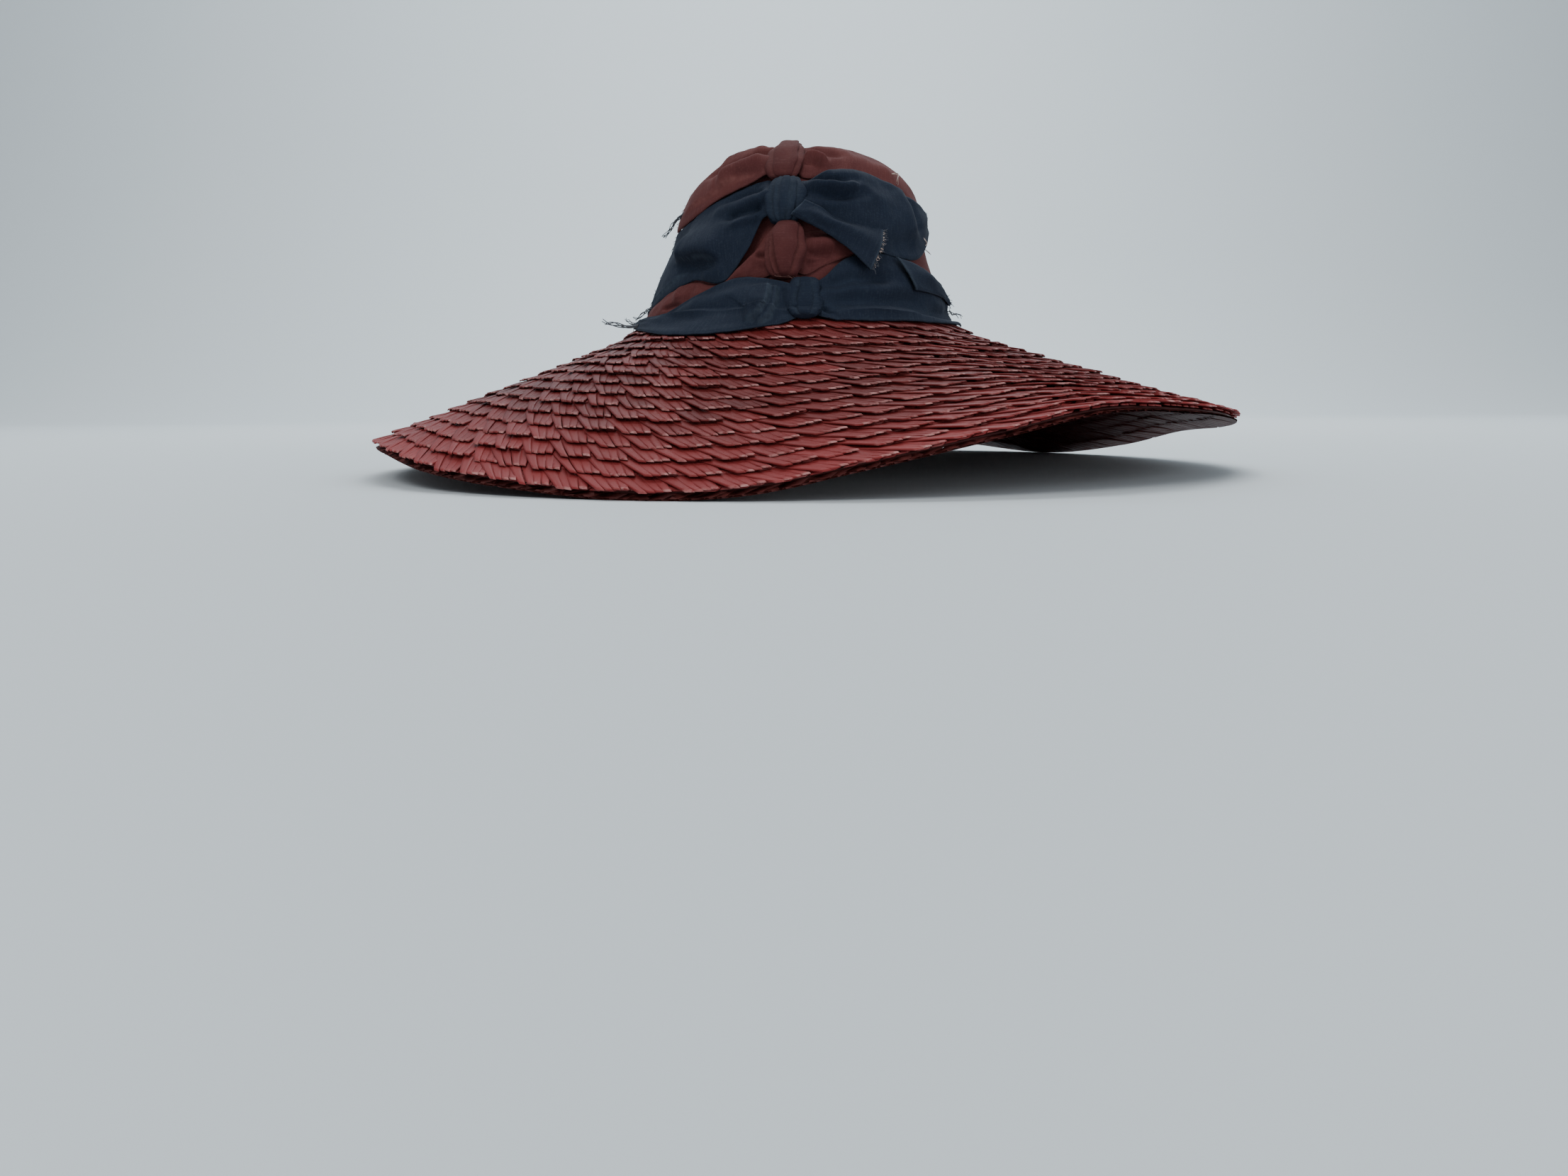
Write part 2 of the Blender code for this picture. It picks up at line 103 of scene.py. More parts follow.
def column(rows: Rows, names: tuple[str, ...], name: str) -> np.ndarray:
    """One named column of a table, as an array.

    Args:
        rows: The table's rows.
        names: The names of its columns, in order.
        name: The column wanted.

    Returns:
        The column's values.
    """
    return np.array([row[names.index(name)] for row in rows], float)


def smooth(xs: np.ndarray, ys: np.ndarray, x: np.ndarray) -> np.ndarray:
    """A cubic through points: between two points it is the Hermite cubic whose slope at each point is that of
    the parabola through it and its two neighbours.

    Args:
        xs: Places of the points, rising.
        ys: Their values.
        x: Where to find the curve.

    Returns:
        The curve's values at x.
    """
    xs, ys, x = np.asarray(xs, float), np.asarray(ys, float), np.asarray(x, float)
    steps = np.diff(xs)
    chords = np.diff(ys) / steps
    slopes = np.empty_like(ys)
    slopes[1:-1] = (chords[:-1] * steps[1:] + chords[1:] * steps[:-1]) / (steps[1:] + steps[:-1])
    slopes[0], slopes[-1] = chords[0], chords[-1]
    i = np.clip(np.searchsorted(xs, x, side="right") - 1, 0, len(xs) - 2)
    h = steps[i]
    t = (x - xs[i]) / h
    rise = ys[i] * (2 * t**3 - 3 * t**2 + 1) + ys[i + 1] * (3 * t**2 - 2 * t**3)
    return rise + h * (slopes[i] * (t**3 - 2 * t**2 + t) + slopes[i + 1] * (t**3 - t**2))


def step(low: float, high: float, x: np.ndarray) -> np.ndarray:
    """The smooth step 3t^2 - 2t^3, with t running from 0 at low to 1 at high.

    Args:
        low: Where the step starts.
        high: Where it ends, which may be below low.
        x: Where to find it.

    Returns:
        Values from 0 to 1.
    """
    t = np.clip((x - low) / (high - low), 0, 1)
    return t * t * (3 - 2 * t)


def bell(distance: np.ndarray, width: float) -> np.ndarray:
    """The bell e^(-(distance / width)^2), which is 1 in the middle."""
    return np.exp(-((distance / width) ** 2))


def unit(v: np.ndarray) -> np.ndarray:
    """Vectors of the same direction and of length 1."""
    return v / np.maximum(np.linalg.norm(v, axis=-1, keepdims=True), 1e-12)


def ripples(rng: np.random.Generator, x: np.ndarray, y: np.ndarray, wave: float) -> np.ndarray:
    """Low soft unevenness: the gain times the mean of some sines, each sin(k (x cos a + y sin a) + b), with a
    and b random and its wavelength 2 pi / k near the one given.

    Args:
        rng: The seeded source of the random numbers.
        x: First coordinates, in metres.
        y: Second coordinates, in metres.
        wave: The wavelength, in metres.

    Returns:
        Values of about -1 to 1.
    """
    sines, gain, shortest, longest = 9, 1.6, 0.7, 1.6
    total = np.zeros(np.broadcast(x, y).shape)
    for _ in range(sines):
        turn, phase = rng.uniform(0, 2 * math.pi, 2)
        k = 2 * math.pi / (wave * rng.uniform(shortest, longest))
        total += np.sin(k * (x * math.cos(turn) + y * math.sin(turn)) + phase)
    return total * gain / sines


def name_seed(name: str) -> int:
    """A seed of a piece's own, from its name."""
    return sum(map(ord, name))


@dataclass(frozen=True)
class HatForm:
    """The main shape that everything lies on: the brim's wave and the crown's dome."""

    brim_radius: float = 0.2220
    wave_height: float = 0.0300
    crown_lift: float = 0.0710
    foot_drop: float = 0.0040
    foot_bend: float = 0.06
    foot_fade: float = 0.03
    plait_body: float = 0.0011
    plait_rise: float = 0.0026
    half_width: float = 0.0820
    half_depth: float = 0.0950
    crown_height: float = 0.0910
    crown_lean: float = 0.0040
    turn_step: float = 0.5
    place_step: float = 0.02

    def edge_value(self, name: str, angle: np.ndarray) -> np.ndarray:
        """A column of the edge's table, carried smoothly round the brim.

        Args:
            name: lift, reach or arch.
            angle: Degrees round the brim.

        Returns:
            The values at those angles.
        """
        angles = column(EDGE_ROWS, EDGE_COLUMNS, "angle")
        values = column(EDGE_ROWS, EDGE_COLUMNS, name)
        angles = np.concatenate([angles - 360, angles, angles + 360])
        return smooth(angles, np.tile(values, 3), (np.asarray(angle, float) + 180) % 360 - 180)

    def crown_point(self, angle: np.ndarray, along: np.ndarray, inset: float = 0.0) -> np.ndarray:
        """The crown's face: x = lean h + a w sin t, y = -b w cos t, z = lift + H h, where h and w are the
        height and the width of the crown's profile at that place.

        Args:
            angle: Degrees round the crown.
            along: Places up its face.
            inset: How far inside the face.

        Returns:
            Points.
        """
        place = column(CROWN_ROWS, CROWN_COLUMNS, "along")
        width = smooth(place, column(CROWN_ROWS, CROWN_COLUMNS, "width"), along)
        height = smooth(place, column(CROWN_ROWS, CROWN_COLUMNS, "height"), along)
        turn = np.radians(angle)
        x = self.crown_lean * height + (self.half_width - inset) * width * np.sin(turn)
        y = -(self.half_depth - inset) * width * np.cos(turn)
        return np.stack([x, y, self.crown_lift + self.crown_height * height + 0 * turn], -1)

    def brim_point(self, angle: np.ndarray, out: np.ndarray) -> np.ndarray:
        """The brim's middle face: a ruled surface from the crown's foot to the wavy edge, bent by
        arch out (1 - out) and by a short fall at the foot.

        Args:
            angle: Degrees round the brim.
            out: Places from the foot to the edge.

        Returns:
            Points.
        """
        turn = np.radians(angle)
        reach = self.brim_radius * self.edge_value("reach", angle)
        edge = self.plait_body / 2 + self.wave_height * self.edge_value("lift", angle)
        fall = out - self.edge_value("arch", angle) * out * (1 - out)
        bend = self.foot_drop * (1 - np.exp(-np.maximum(out, 0) / self.foot_bend)) * (1 - out)
        x = (self.half_width + (reach - self.half_width) * out) * np.sin(turn)
        y = -(self.half_depth + (reach - self.half_depth) * out) * np.cos(turn)
        return np.stack([x, y, self.crown_lift + (edge - self.crown_lift) * fall - bend], -1)

    def hat_point(self, angle: np.ndarray, along: np.ndarray) -> np.ndarray:
        """The crown's face, or for a negative place the brim in front of it.

        Args:
            angle: Degrees round the hat.
            along: Places up the crown, or below zero out on the brim.

        Returns:
            Points.
        """
        on_crown = self.crown_point(angle, np.clip(along, 0, 1))
        on_brim = self.brim_point(angle, np.clip(-along, 0, 1))
        return np.where((along >= 0)[..., None], on_crown, on_brim)

    def normals(self, point: Surface, angle: np.ndarray, along: np.ndarray, way: int = 1) -> np.ndarray:
        """Outward directions: the cross product of the surface's change round the hat and its change along
        it.

        Args:
            point: The surface, a function of angle and place.
            angle: Degrees round the hat.
            along: Places.
            way: 1 where the place runs up the crown, -1 where it runs outwards from the crown.

        Returns:
            Unit vectors.
        """
        turn, move = self.turn_step, way * self.place_step
        across = point(angle + turn, along) - point(angle - turn, along)
        return unit(np.cross(across, point(angle, along + move) - point(angle, along - move)))

    def over_hat(self, angle: np.ndarray, along: np.ndarray, lift: np.ndarray) -> np.ndarray:
        """Points over the crown's cloth, or over the straw in front of its foot.

        Args:
            angle: Degrees round the hat.
            along: Places up the crown, or below zero out on the brim.
            lift: How far over it.

        Returns:
            Points.
        """
        straw = (self.plait_body / 2 + self.plait_rise) * np.clip(1 - along / self.foot_fade, 0, 1)
        out = self.normals(self.hat_point, angle, along)
        return self.hat_point(angle, along) + out * (lift + straw)[..., None]

    def over_brim(self, angle: np.ndarray, out: np.ndarray, lift: np.ndarray) -> np.ndarray:
        """Points that far over the brim's middle face."""
        up = self.normals(self.brim_point, angle, out, -1)
        return self.brim_point(angle, out) + up * lift[..., None]


FORM = HatForm()


class Nodes:
    """Short ways to add nodes to a material's tree."""

    def __init__(self, name: str) -> None:
        """Starts a material with one Principled shader.

        Args:
            name: The material's name.
        """
        self.material = bpy.data.materials.new(name)
        self.material.use_nodes = True
        self.tree = self.material.node_tree
        self.shader = self.tree.nodes["Principled BSDF"]

    def add(self, kind: str, **sockets: Input) -> bpy.types.Node:
        """Adds a node and sets or links its inputs.

        Args:
            kind: The node's type name.
            **sockets: Inputs by name. A socket is linked, any other value is set.

        Returns:
            The node.
        """
        node = self.tree.nodes.new(kind)
        for key, value in sockets.items():
            self.join(node, key, value)
        return node

    def join(self, node: bpy.types.Node, key: str | int, value: Input) -> None:
        """Links a socket to an input, or sets the input to a value.

        Args:
            node: The node.
            key: The input's name or place.
            value: The socket or the value.
        """
        if isinstance(value, bpy.types.NodeSocket):
            self.tree.links.new(value, node.inputs[key])
        else:
            node.inputs[key].default_value = value

    def finish(self, **values: Input) -> None:
        """Sets or links the shader's own inputs, by name with _ for a space."""
        for key, value in values.items():
            self.join(self.shader, key.replace("_", " "), value)

    def math(self, operation: str, first: Input, second: Input) -> bpy.types.NodeSocket:
        """A Math node's result.

        Args:
            operation: Its operation, such as MULTIPLY.
            first: Its first value or socket.
            second: Its second.

        Returns:
            The output socket.
        """
        node = self.tree.nodes.new("ShaderNodeMath")
        node.operation = operation
        self.join(node, 0, first)
        self.join(node, 1, second)
        return node.outputs[0]

    def total(self, *terms: tuple[bpy.types.NodeSocket, float]) -> bpy.types.NodeSocket:
        """The sum of some values, each times its share.

        Args:
            *terms: Pairs of a value's socket and its share.

        Returns:
            The output socket.
        """
        made = [self.math("MULTIPLY", value, share) for value, share in terms]
        result = made[0]
        for other in made[1:]:
            result = self.math("ADD", result, other)
        return result

    def noise(self, vector: bpy.types.NodeSocket, scale: float, detail: float = 2.0,
              rough: float = 0.5) -> bpy.types.NodeSocket:
        """A noise texture's value.

        Args:
            vector: Where it is read.
            scale: Its scale, per metre.
            detail: Its octaves.
            rough: How strong the finer octaves are.

        Returns:
            The output socket.
        """
        node = self.add("ShaderNodeTexNoise", Vector=vector, Scale=scale, Detail=detail, Roughness=rough)
        return node.outputs["Fac"]

    def span(self, value: bpy.types.NodeSocket, old: Pair, new: Pair = (0.0, 1.0)) -> bpy.types.NodeSocket:
        """A value carried from one range to another and held inside it.

        Args:
            value: The value's socket.
            old: The range that it comes from.
            new: The range that it is carried to.

        Returns:
            The output socket.
        """
        node = self.add("ShaderNodeMapRange", Value=value)
        for key, number in zip(("From Min", "From Max", "To Min", "To Max"), old + new):
            node.inputs[key].default_value = number
        return node.outputs["Result"]

    def mix(self, factor: Input, first: Input, second: Input) -> bpy.types.NodeSocket:
        """A mix of two colours, by the places that a Mix node gives its colour inputs and its colour output.

        Args:
            factor: How much of the second.
            first: A colour or a socket.
            second: A colour or a socket.

        Returns:
            The output socket.
        """
        factor_in, first_in, second_in, colour_out = 0, 6, 7, 2
        node = self.tree.nodes.new("ShaderNodeMix")
        node.data_type = "RGBA"
        self.join(node, factor_in, factor)
        self.join(node, first_in, first)
        self.join(node, second_in, second)
        return node.outputs[colour_out]

    def scaled(self, vector: bpy.types.NodeSocket, scale: Vector) -> bpy.types.NodeSocket:
        """A vector stretched along its axes."""
        return self.add("ShaderNodeMapping", Vector=vector, Scale=scale).outputs[0]

    def attribute(self, name: str) -> bpy.types.NodeSocket:
        """A number kept on the mesh.

        Args:
            name: The attribute's name.

        Returns:
            The output socket.
        """
        node = self.tree.nodes.new("ShaderNodeAttribute")
        node.attribute_name = name
        return node.outputs["Fac"]

    def place(self, output: str) -> bpy.types.NodeSocket:
        """Object coordinates, or UV for the piece's own map."""
        return self.tree.nodes.new("ShaderNodeTexCoord").outputs[output]


@dataclass(frozen=True)
class StrawFinish:
    """Dyed straw: long fibres along each strand, a tone of its own for each strand, and paler folds that are
    partly worn and partly a painted highlight. The tone, a blotch and the fibres are added in their shares,
    and the sum picks the colour between deep and middle. Painted light brightens the outer rows and each
    strand towards its row's edge, which leaves painted shade where a strand runs under the row above."""

    name: str = "dyed_straw"
    deep: Colour = (0.075, 0.0098, 0.0093, 1.0)
    middle: Colour = (0.185, 0.0226, 0.0212, 1.0)
    bright: Colour = (0.320, 0.039, 0.040, 1.0)
    # Colour of the pale fold ends, which are partly worn straw and partly a painted highlight.
    pale_mark: Colour = (0.640, 0.330, 0.310, 1.0)
    gloss: float = 0.16
    coat: float = 0.02
    coat_roughness: float = 0.30
    roughness: Pair = (0.38, 0.62)
    fibre: float = 5200.0
    fibre_stretch: float = 0.035
    fibre_span: Pair = (0.2, 0.9)
    fibre_depth: float = 0.00010
    fibre_strength: float = 0.8
    blotch: float = 55.0
    tone_share: float = 0.62
    blotch_share: float = 0.45
    fibre_share: float = 0.34
    colour_span: Pair = (0.32, 1.05)
    # Painted light: brighter on the outer rows and towards each row's edge.
    painted_light_span: Pair = (0.55, 1.0)
    pale_tones: Pair = (0.80, 1.0)
    pale_share: Pair = (0.0, 0.35)
    bright_share: float = 0.62
    wear_and_highlight_noise: float = 420.0
    wear_and_highlight_span: Pair = (0.34, 0.58)
    wear_and_highlight_share: float = 0.85

    def build(self) -> bpy.types.Material:
        """Makes the material.

        Returns:
            The material.
        """
        n = Nodes(self.name)
        tone, wear_and_highlight, painted_light = n.attribute("tone"), n.attribute("wear_and_highlight"), n.attribute("painted_light")
        stretched = n.scaled(n.place("UV"), (self.fibre, self.fibre * self.fibre_stretch, 1.0))
        fibres = n.noise(stretched, 1.0, 3.0, 0.6)
        blotch = n.noise(n.place("Object"), self.blotch, 3.0)
        mixed = n.total((tone, self.tone_share), (blotch, self.blotch_share), (fibres, self.fibre_share))
        colour = n.mix(n.span(mixed, self.colour_span), self.deep, self.middle)
        # Painted light on the outer rows and row edges, added to the real pale tones.
        lit = n.math("ADD", n.span(painted_light, self.painted_light_span), n.span(tone, self.pale_tones, self.pale_share))
        colour = n.mix(n.math("MULTIPLY", lit, self.bright_share), colour, self.bright)
        # Pale fold ends: partly wear and partly a painted highlight, broken up by noise.
        wear_and_highlight_mask = n.math("MULTIPLY", wear_and_highlight, n.span(n.noise(n.place("Object"), self.wear_and_highlight_noise), self.wear_and_highlight_span))
        colour = n.mix(n.math("MULTIPLY", wear_and_highlight_mask, self.wear_and_highlight_share), colour, self.pale_mark)
        bump = n.add("ShaderNodeBump", Height=fibres, Distance=self.fibre_depth, Strength=self.fibre_strength)
        n.finish(Base_Color=colour, Roughness=n.span(fibres, self.fibre_span, self.roughness),
                 Specular_IOR_Level=self.gloss, Coat_Weight=self.coat, Coat_Roughness=self.coat_roughness,
                 Normal=bump.outputs[0])
        return n.material


@dataclass(frozen=True)
class CrepeFinish:
    """Matt crinkled crepe, a little faded in patches and paler along its worn edges, with a painted highlight
    along the rims of its ledges.
    """

    name: str
    colour: Colour
    faded: Colour
    edge: Colour
    sheen: float = 0.09
    sheen_roughness: float = 0.45
    gloss: float = 0.25
    roughness: Pair = (0.92, 0.80)
    roughness_span: Pair = (0.3, 0.7)
    crinkle: float = 1500.0
    crinkle_stretch: float = 0.55
    slub_across: float = 0.10
    slub_along: float = 1.1
    crinkle_share: float = 0.55
    slub_share: float = 0.45
    crinkle_depth: float = 0.00022
    crinkle_strength: float = 0.9
    patch: float = 38.0
    patch_span: Pair = (0.42, 0.72)
    patch_share: Pair = (0.0, 0.75)
    thread_span: Pair = (0.50, 0.78)
    thread_share: Pair = (0.0, 0.38)
    wear_and_highlight_noise: float = 350.0
    wear_and_highlight_span: Pair = (0.35, 0.62)
    wear_and_highlight_share: Pair = (0.45, 1.0)
    edge_share: float = 0.8

    def build(self) -> bpy.types.Material:
        """Makes the material.

        Returns:
            The material.
        """
        n = Nodes(self.name)
        here, cloth = n.place("Object"), n.place("UV")
        fine = n.scaled(cloth, (self.crinkle, self.crinkle * self.crinkle_stretch, 1.0))
        drawn = n.scaled(cloth, (self.crinkle * self.slub_across, self.crinkle * self.slub_along, 1.0))
        patches = n.noise(here, self.patch, 4.0, 0.6)
        colour = n.mix(n.span(patches, self.patch_span, self.patch_share), self.colour, self.faded)
        crinkles, slubs = n.noise(fine, 1.0, 3.0, 0.65), n.noise(drawn, 1.0)
        lit = n.total((crinkles, self.crinkle_share), (slubs, self.slub_share))
        colour = n.mix(n.span(lit, self.thread_span, self.thread_share), colour, self.edge)
        # Paler where the edge number is high: worn edges, and a painted highlight along ledge rims.
        wear_and_highlight_mask = n.span(n.noise(here, self.wear_and_highlight_noise), self.wear_and_highlight_span, self.wear_and_highlight_share)
        pale_mark = n.math("MULTIPLY", n.attribute("edge"), wear_and_highlight_mask)
        colour = n.mix(n.math("MULTIPLY", pale_mark, self.edge_share), colour, self.edge)
        bump = n.add("ShaderNodeBump", Height=lit, Distance=self.crinkle_depth,
                     Strength=self.crinkle_strength)
        n.finish(Base_Color=colour, Roughness=n.span(lit, self.roughness_span, self.roughness),
                 Specular_IOR_Level=self.gloss, Sheen_Weight=self.sheen, Sheen_Roughness=self.sheen_roughness,
                 Sheen_Tint=self.edge, Normal=bump.outputs[0])
        return n.material


@dataclass(frozen=True)
class ThreadFinish:
    """Loose threads, a little uneven in colour."""

    name: str
    colour: Colour
    pale: Colour
    spots: float = 900.0
    spot_span: Pair = (0.35, 0.65)
    roughness: float = 0.85
    sheen: float = 0.3

    def build(self) -> bpy.types.Material:
        """Makes the material.

        Returns:
            The material.
        """
        n = Nodes(self.name)
        spots = n.span(n.noise(n.place("Object"), self.spots), self.spot_span)
        n.finish(Base_Color=n.mix(spots, self.colour, self.pale), Roughness=self.roughness,
                 Sheen_Weight=self.sheen)
        return n.material


class Finish(Enum):
    """The hat's finishes."""

    STRAW = StrawFinish()
    # A darker copy of the straw for the brim's under side and the foundation: painted shade.
    STRAW_UNDER_PAINTED_SHADE = StrawFinish(
        "dyed_straw_inside_painted_shade", deep=(0.040, 0.010, 0.009, 1.0), middle=(0.105, 0.024, 0.021, 1.0),
        bright=(0.150, 0.036, 0.032, 1.0), pale_mark=(0.20, 0.09, 0.08, 1.0))
    RUST = CrepeFinish(
        "rust_crepe_cloth", (0.090, 0.0226, 0.0225, 1.0), (0.140, 0.040, 0.036, 1.0),
        (0.200, 0.070, 0.062, 1.0))
    # A darker copy of the rust crepe for the top and middle knots: painted shade on their bulging wraps.
    RUST_WRAP_PAINTED_SHADE = CrepeFinish(
        "rust_crepe_wrapped_painted_shade", (0.067, 0.0155, 0.0160, 1.0), (0.100, 0.0255, 0.0245, 1.0),
        (0.150, 0.050, 0.044, 1.0), sheen=0.05)
    NAVY = CrepeFinish(
        "navy_crepe_cloth", (0.0082, 0.0140, 0.0290, 1.0), (0.0125, 0.0205, 0.0390, 1.0),
        (0.045, 0.062, 0.085, 1.0))
    NAVY_THREAD = ThreadFinish("navy_thread", (0.010, 0.014, 0.026, 1.0), (0.035, 0.045, 0.065, 1.0))
    RUST_THREAD = ThreadFinish("rust_thread", (0.09, 0.025, 0.020, 1.0), (0.20, 0.08, 0.06, 1.0))
    PALE_THREAD = ThreadFinish("pale_thread", (0.35, 0.24, 0.20, 1.0), (0.60, 0.50, 0.45, 1.0))


def finish_material(finish: Finish) -> bpy.types.Material:
    """The finish's material, made once."""
    return bpy.data.materials.get(finish.value.name) or finish.value.build()


def grid_quads(rows: int, columns: int, closed: bool = False) -> np.ndarray:
    """Corners of the cells of a grid whose points run row by row.

    Args:
        rows: How many rows of points.
        columns: How many points in a row.
        closed: Whether the last column joins the first.

    Returns:
        An array of four indices for each cell.
    """
    index = np.arange(rows * columns).reshape(rows, columns)
    if closed:
        index = np.concatenate([index, index[:, :1]], 1)
    return np.stack([index[:-1, :-1], index[:-1, 1:], index[1:, 1:], index[1:, :-1]], -1).reshape(-1, 4)


def repeat_quads(cells: np.ndarray, size: int, count: int) -> np.ndarray:
    """The same cells for count shapes of size points each, one after another."""
    return (cells[None] + (np.arange(count) * size)[:, None, None]).reshape(-1, 4)


def add_piece(name: str, points: np.ndarray, quads: np.ndarray, finish: Finish, nodes: tuple[str, ...] = (),
              uv: np.ndarray | None = None, numbers: dict[str, np.ndarray] | None = None) -> bpy.types.Object:
    """Makes a mesh object that rides on the hat.

    Args:
        name: The piece's name.
        points: Its points.
        quads: Four indices for each face.
        finish: Its finish.
        nodes: The CAD nodes that it replaces.
        uv: A place on the cloth or strand for each point, in metres.
        numbers: Numbers for each point, by attribute name.

    Returns:
        The object.
    """
    points = np.ascontiguousarray(points.reshape(-1, 3), dtype=np.float32)
    mesh = bpy.data.meshes.new(name)
    mesh.vertices.add(len(points))
    mesh.vertices.foreach_set("co", points.ravel())
    mesh.loops.add(quads.size)
    mesh.loops.foreach_set("vertex_index", quads.ravel().astype(np.int32))
    mesh.polygons.add(len(quads))
    mesh.polygons.foreach_set("loop_start", np.arange(0, quads.size, 4, dtype=np.int32))
    mesh.polygons.foreach_set("use_smooth", np.ones(len(quads), bool))
    mesh.update(calc_edges=True)
    if uv is not None:
        layer = mesh.uv_layers.new(name="cloth")
        layer.data.foreach_set("uv", uv.reshape(-1, 2)[quads.ravel()].astype(np.float32).ravel())
    for key, values in (numbers or {}).items():
        made = mesh.attributes.new(key, "FLOAT", "POINT")
        made.data.foreach_set("value", np.ascontiguousarray(values.ravel(), dtype=np.float32))
    piece = bpy.data.objects.new(name, mesh)
    bpy.context.scene.collection.objects.link(piece)
    mesh.materials.append(finish_material(finish))
    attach(piece, BODY)
    if nodes:
        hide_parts(*nodes)
    LOG.info("%s: %d faces", name, len(quads))
    return piece


def merge(sets: list[tuple[np.ndarray, np.ndarray]]) -> tuple[np.ndarray, np.ndarray]:
    """Several sets of points and faces as one.

    Args:
        sets: Points and faces of each set.

    Returns:
        Points and faces.
    """
    points = [spots.reshape(-1, 3) for spots, _ in sets]
    starts = np.cumsum([0] + [len(spots) for spots in points[:-1]])
    return np.concatenate(points), np.concatenate([faces + start for (_, faces), start in zip(sets, starts)])


def add_wall(piece: bpy.types.Object, thickness: float) -> None:
    """Gives a sheet a wall on its inner side.

    Args:
        piece: The sheet.
        thickness: The wall's thickness.
    """
    solid = piece.modifiers.new("wall", "SOLIDIFY")
    solid.thickness = thickness
    solid.offset = -1.0
    solid.use_rim = True


@dataclass(frozen=True)
class StrawBrim:
    """The brim: one long plait of folded straws, coiled into overlapping rows. Each row shows teeth, bundles
    of straws that run outwards and to the right and fold under along the row's edge, and between them the
    straws that come back from the folds. The foundation's map runs on by foundation_map metres for each ring
    and for each radian."""

    rows: int = 15
    pitch: float = 0.0165
    slope_length: float = 0.1460
    inner_radius: float = 0.0885
    outer_radius: float = 0.2205
    groups: tuple[tuple[str, int, int], ...] = (
        ("plait_inner_rows", 0, 6), ("plait_middle_rows", 6, 11), ("plait_outer_rows", 11, 15))
    slide: float = 0.0007
    turn: float = 2.6
    raise_spread: float = 0.00034
    raise_range: Pair = (-0.0005, 0.0008)
    strands: int = 4
    strand_step: float = 0.00300
    strand_start: float = 0.9
    strand_width: float = 0.00334
    widening: float = 62.0
    lean: float = 41.0
    fan: float = 5.0
    reach_in: float = 0.0155
    top_shares: tuple[float, ...] = (1.0, 0.70, 0.42, 0.20, 0.075, 0.032, 0.0)
    return_shares: tuple[float, ...] = (1.0, 0.60, 0.30, 0.08, 0.0)
    return_reach: float = 0.8
    return_turn: float = 3.0
    return_width: float = 1.35
    return_start: float = 0.7
    return_wear_and_highlight: float = 0.3
    section_across: tuple[float, ...] = (-1.0, -0.90, -0.35, 0.35, 0.90, 1.0)
    section_height: tuple[float, ...] = (-1.0, 0.35, 1.0, 1.0, 0.35, -1.0)
    thickness: float = 0.00065
    crown: float = 0.000036
    low_lift: float = 0.00070
    high_lift: float = 0.00270
    past_edge: float = 1.05
    curl: float = 1.5
    shingle: float = 0.00024
    flank: float = 0.00034
    twist: float = 0.00026
    twist_power: int = 6
    tilt: float = 0.00005
    end_rise: float = 0.00046
    under_step: float = 0.0024
    under_drop: float = 0.00120
    under_side: float = 0.60
    under_back: float = 1.55
    under_margin: float = 0.004
    roll_length: float = 0.0017
    roll_share: float = 0.62
    bump: float = 0.00013
    bump_back: float = 0.0012
    bump_width: float = 0.0007
    own_lean: float = 1.0
    own_width: float = 0.035
    own_along: float = 0.00012
    own_out: float = 0.00020
    own_return: float = 0.0004
    own_lift: float = 0.00004
    own_wear_and_highlight: float = 0.42
    own_tone: float = 0.06
    # Pale fold ends: partly wear and partly a painted highlight.
    wear_and_highlight: float = 0.30
    wear_and_highlight_step: float = 0.16
    wear_and_highlight_power: float = 1.2
    tooth_tone: float = 0.65
    # Painted shade: each strand darkens towards where it runs under the row above.
    painted_light_fall: float = 0.15
    map_step: float = 0.01
    map_shift: float = 3.0
    around: int = 240
    foundation_rings: int = 46
    foundation_short: float = 0.0040
    foundation_over: float = 0.00055
    foundation_under: float = 0.00045
    foundation_tone: float = 0.25
    foundation_map: Pair = (0.003, 0.12)
    collar_rings: int = 8
    collar_height: float = 0.10
    collar_inset: float = 0.0031
    collar_wall: float = 0.0015
    collar_drop: float = 0.0010

    def teeth(self, row: int) -> int:
        """How many teeth fit round a row."""
        radius = self.inner_radius + (self.outer_radius - self.inner_radius) * (row + 1) / self.rows
        return round(2 * math.pi * radius / self.pitch)

    def row_tables(self, first: int, last: int, rng: np.random.Generator) -> dict[str, np.ndarray]:
        """Each tooth of some rows: its angle, the place of its row's edge, and its own small differences.

        Args:
            first: The first row.
            last: The row after the last.
            rng: The seeded source of the random numbers.

        Returns:
            Arrays with one value for each tooth.
        """
        columns: dict[str, list[np.ndarray]] = {"angle": [], "edge": [], "degrees": []}
        for row in range(first, last):
            count = self.teeth(row)
            columns["angle"].append((np.arange(count) + rng.uniform(0, 1)) * 360.0 / count)
            columns["edge"].append(np.full(count, (row + 1) / self.rows))
            columns["degrees"].append(np.full(count, 360.0 / count / self.pitch))
        made = {key: np.concatenate(value) for key, value in columns.items()}
        size = len(made["angle"])
        made["slide"] = rng.normal(0, self.slide, size)
        made["turn"] = rng.normal(0, self.turn, size)
        made["raise"] = np.clip(rng.normal(0, self.raise_spread, size), *self.raise_range)
        made["tone"] = rng.uniform(0, 1, size)
        return made

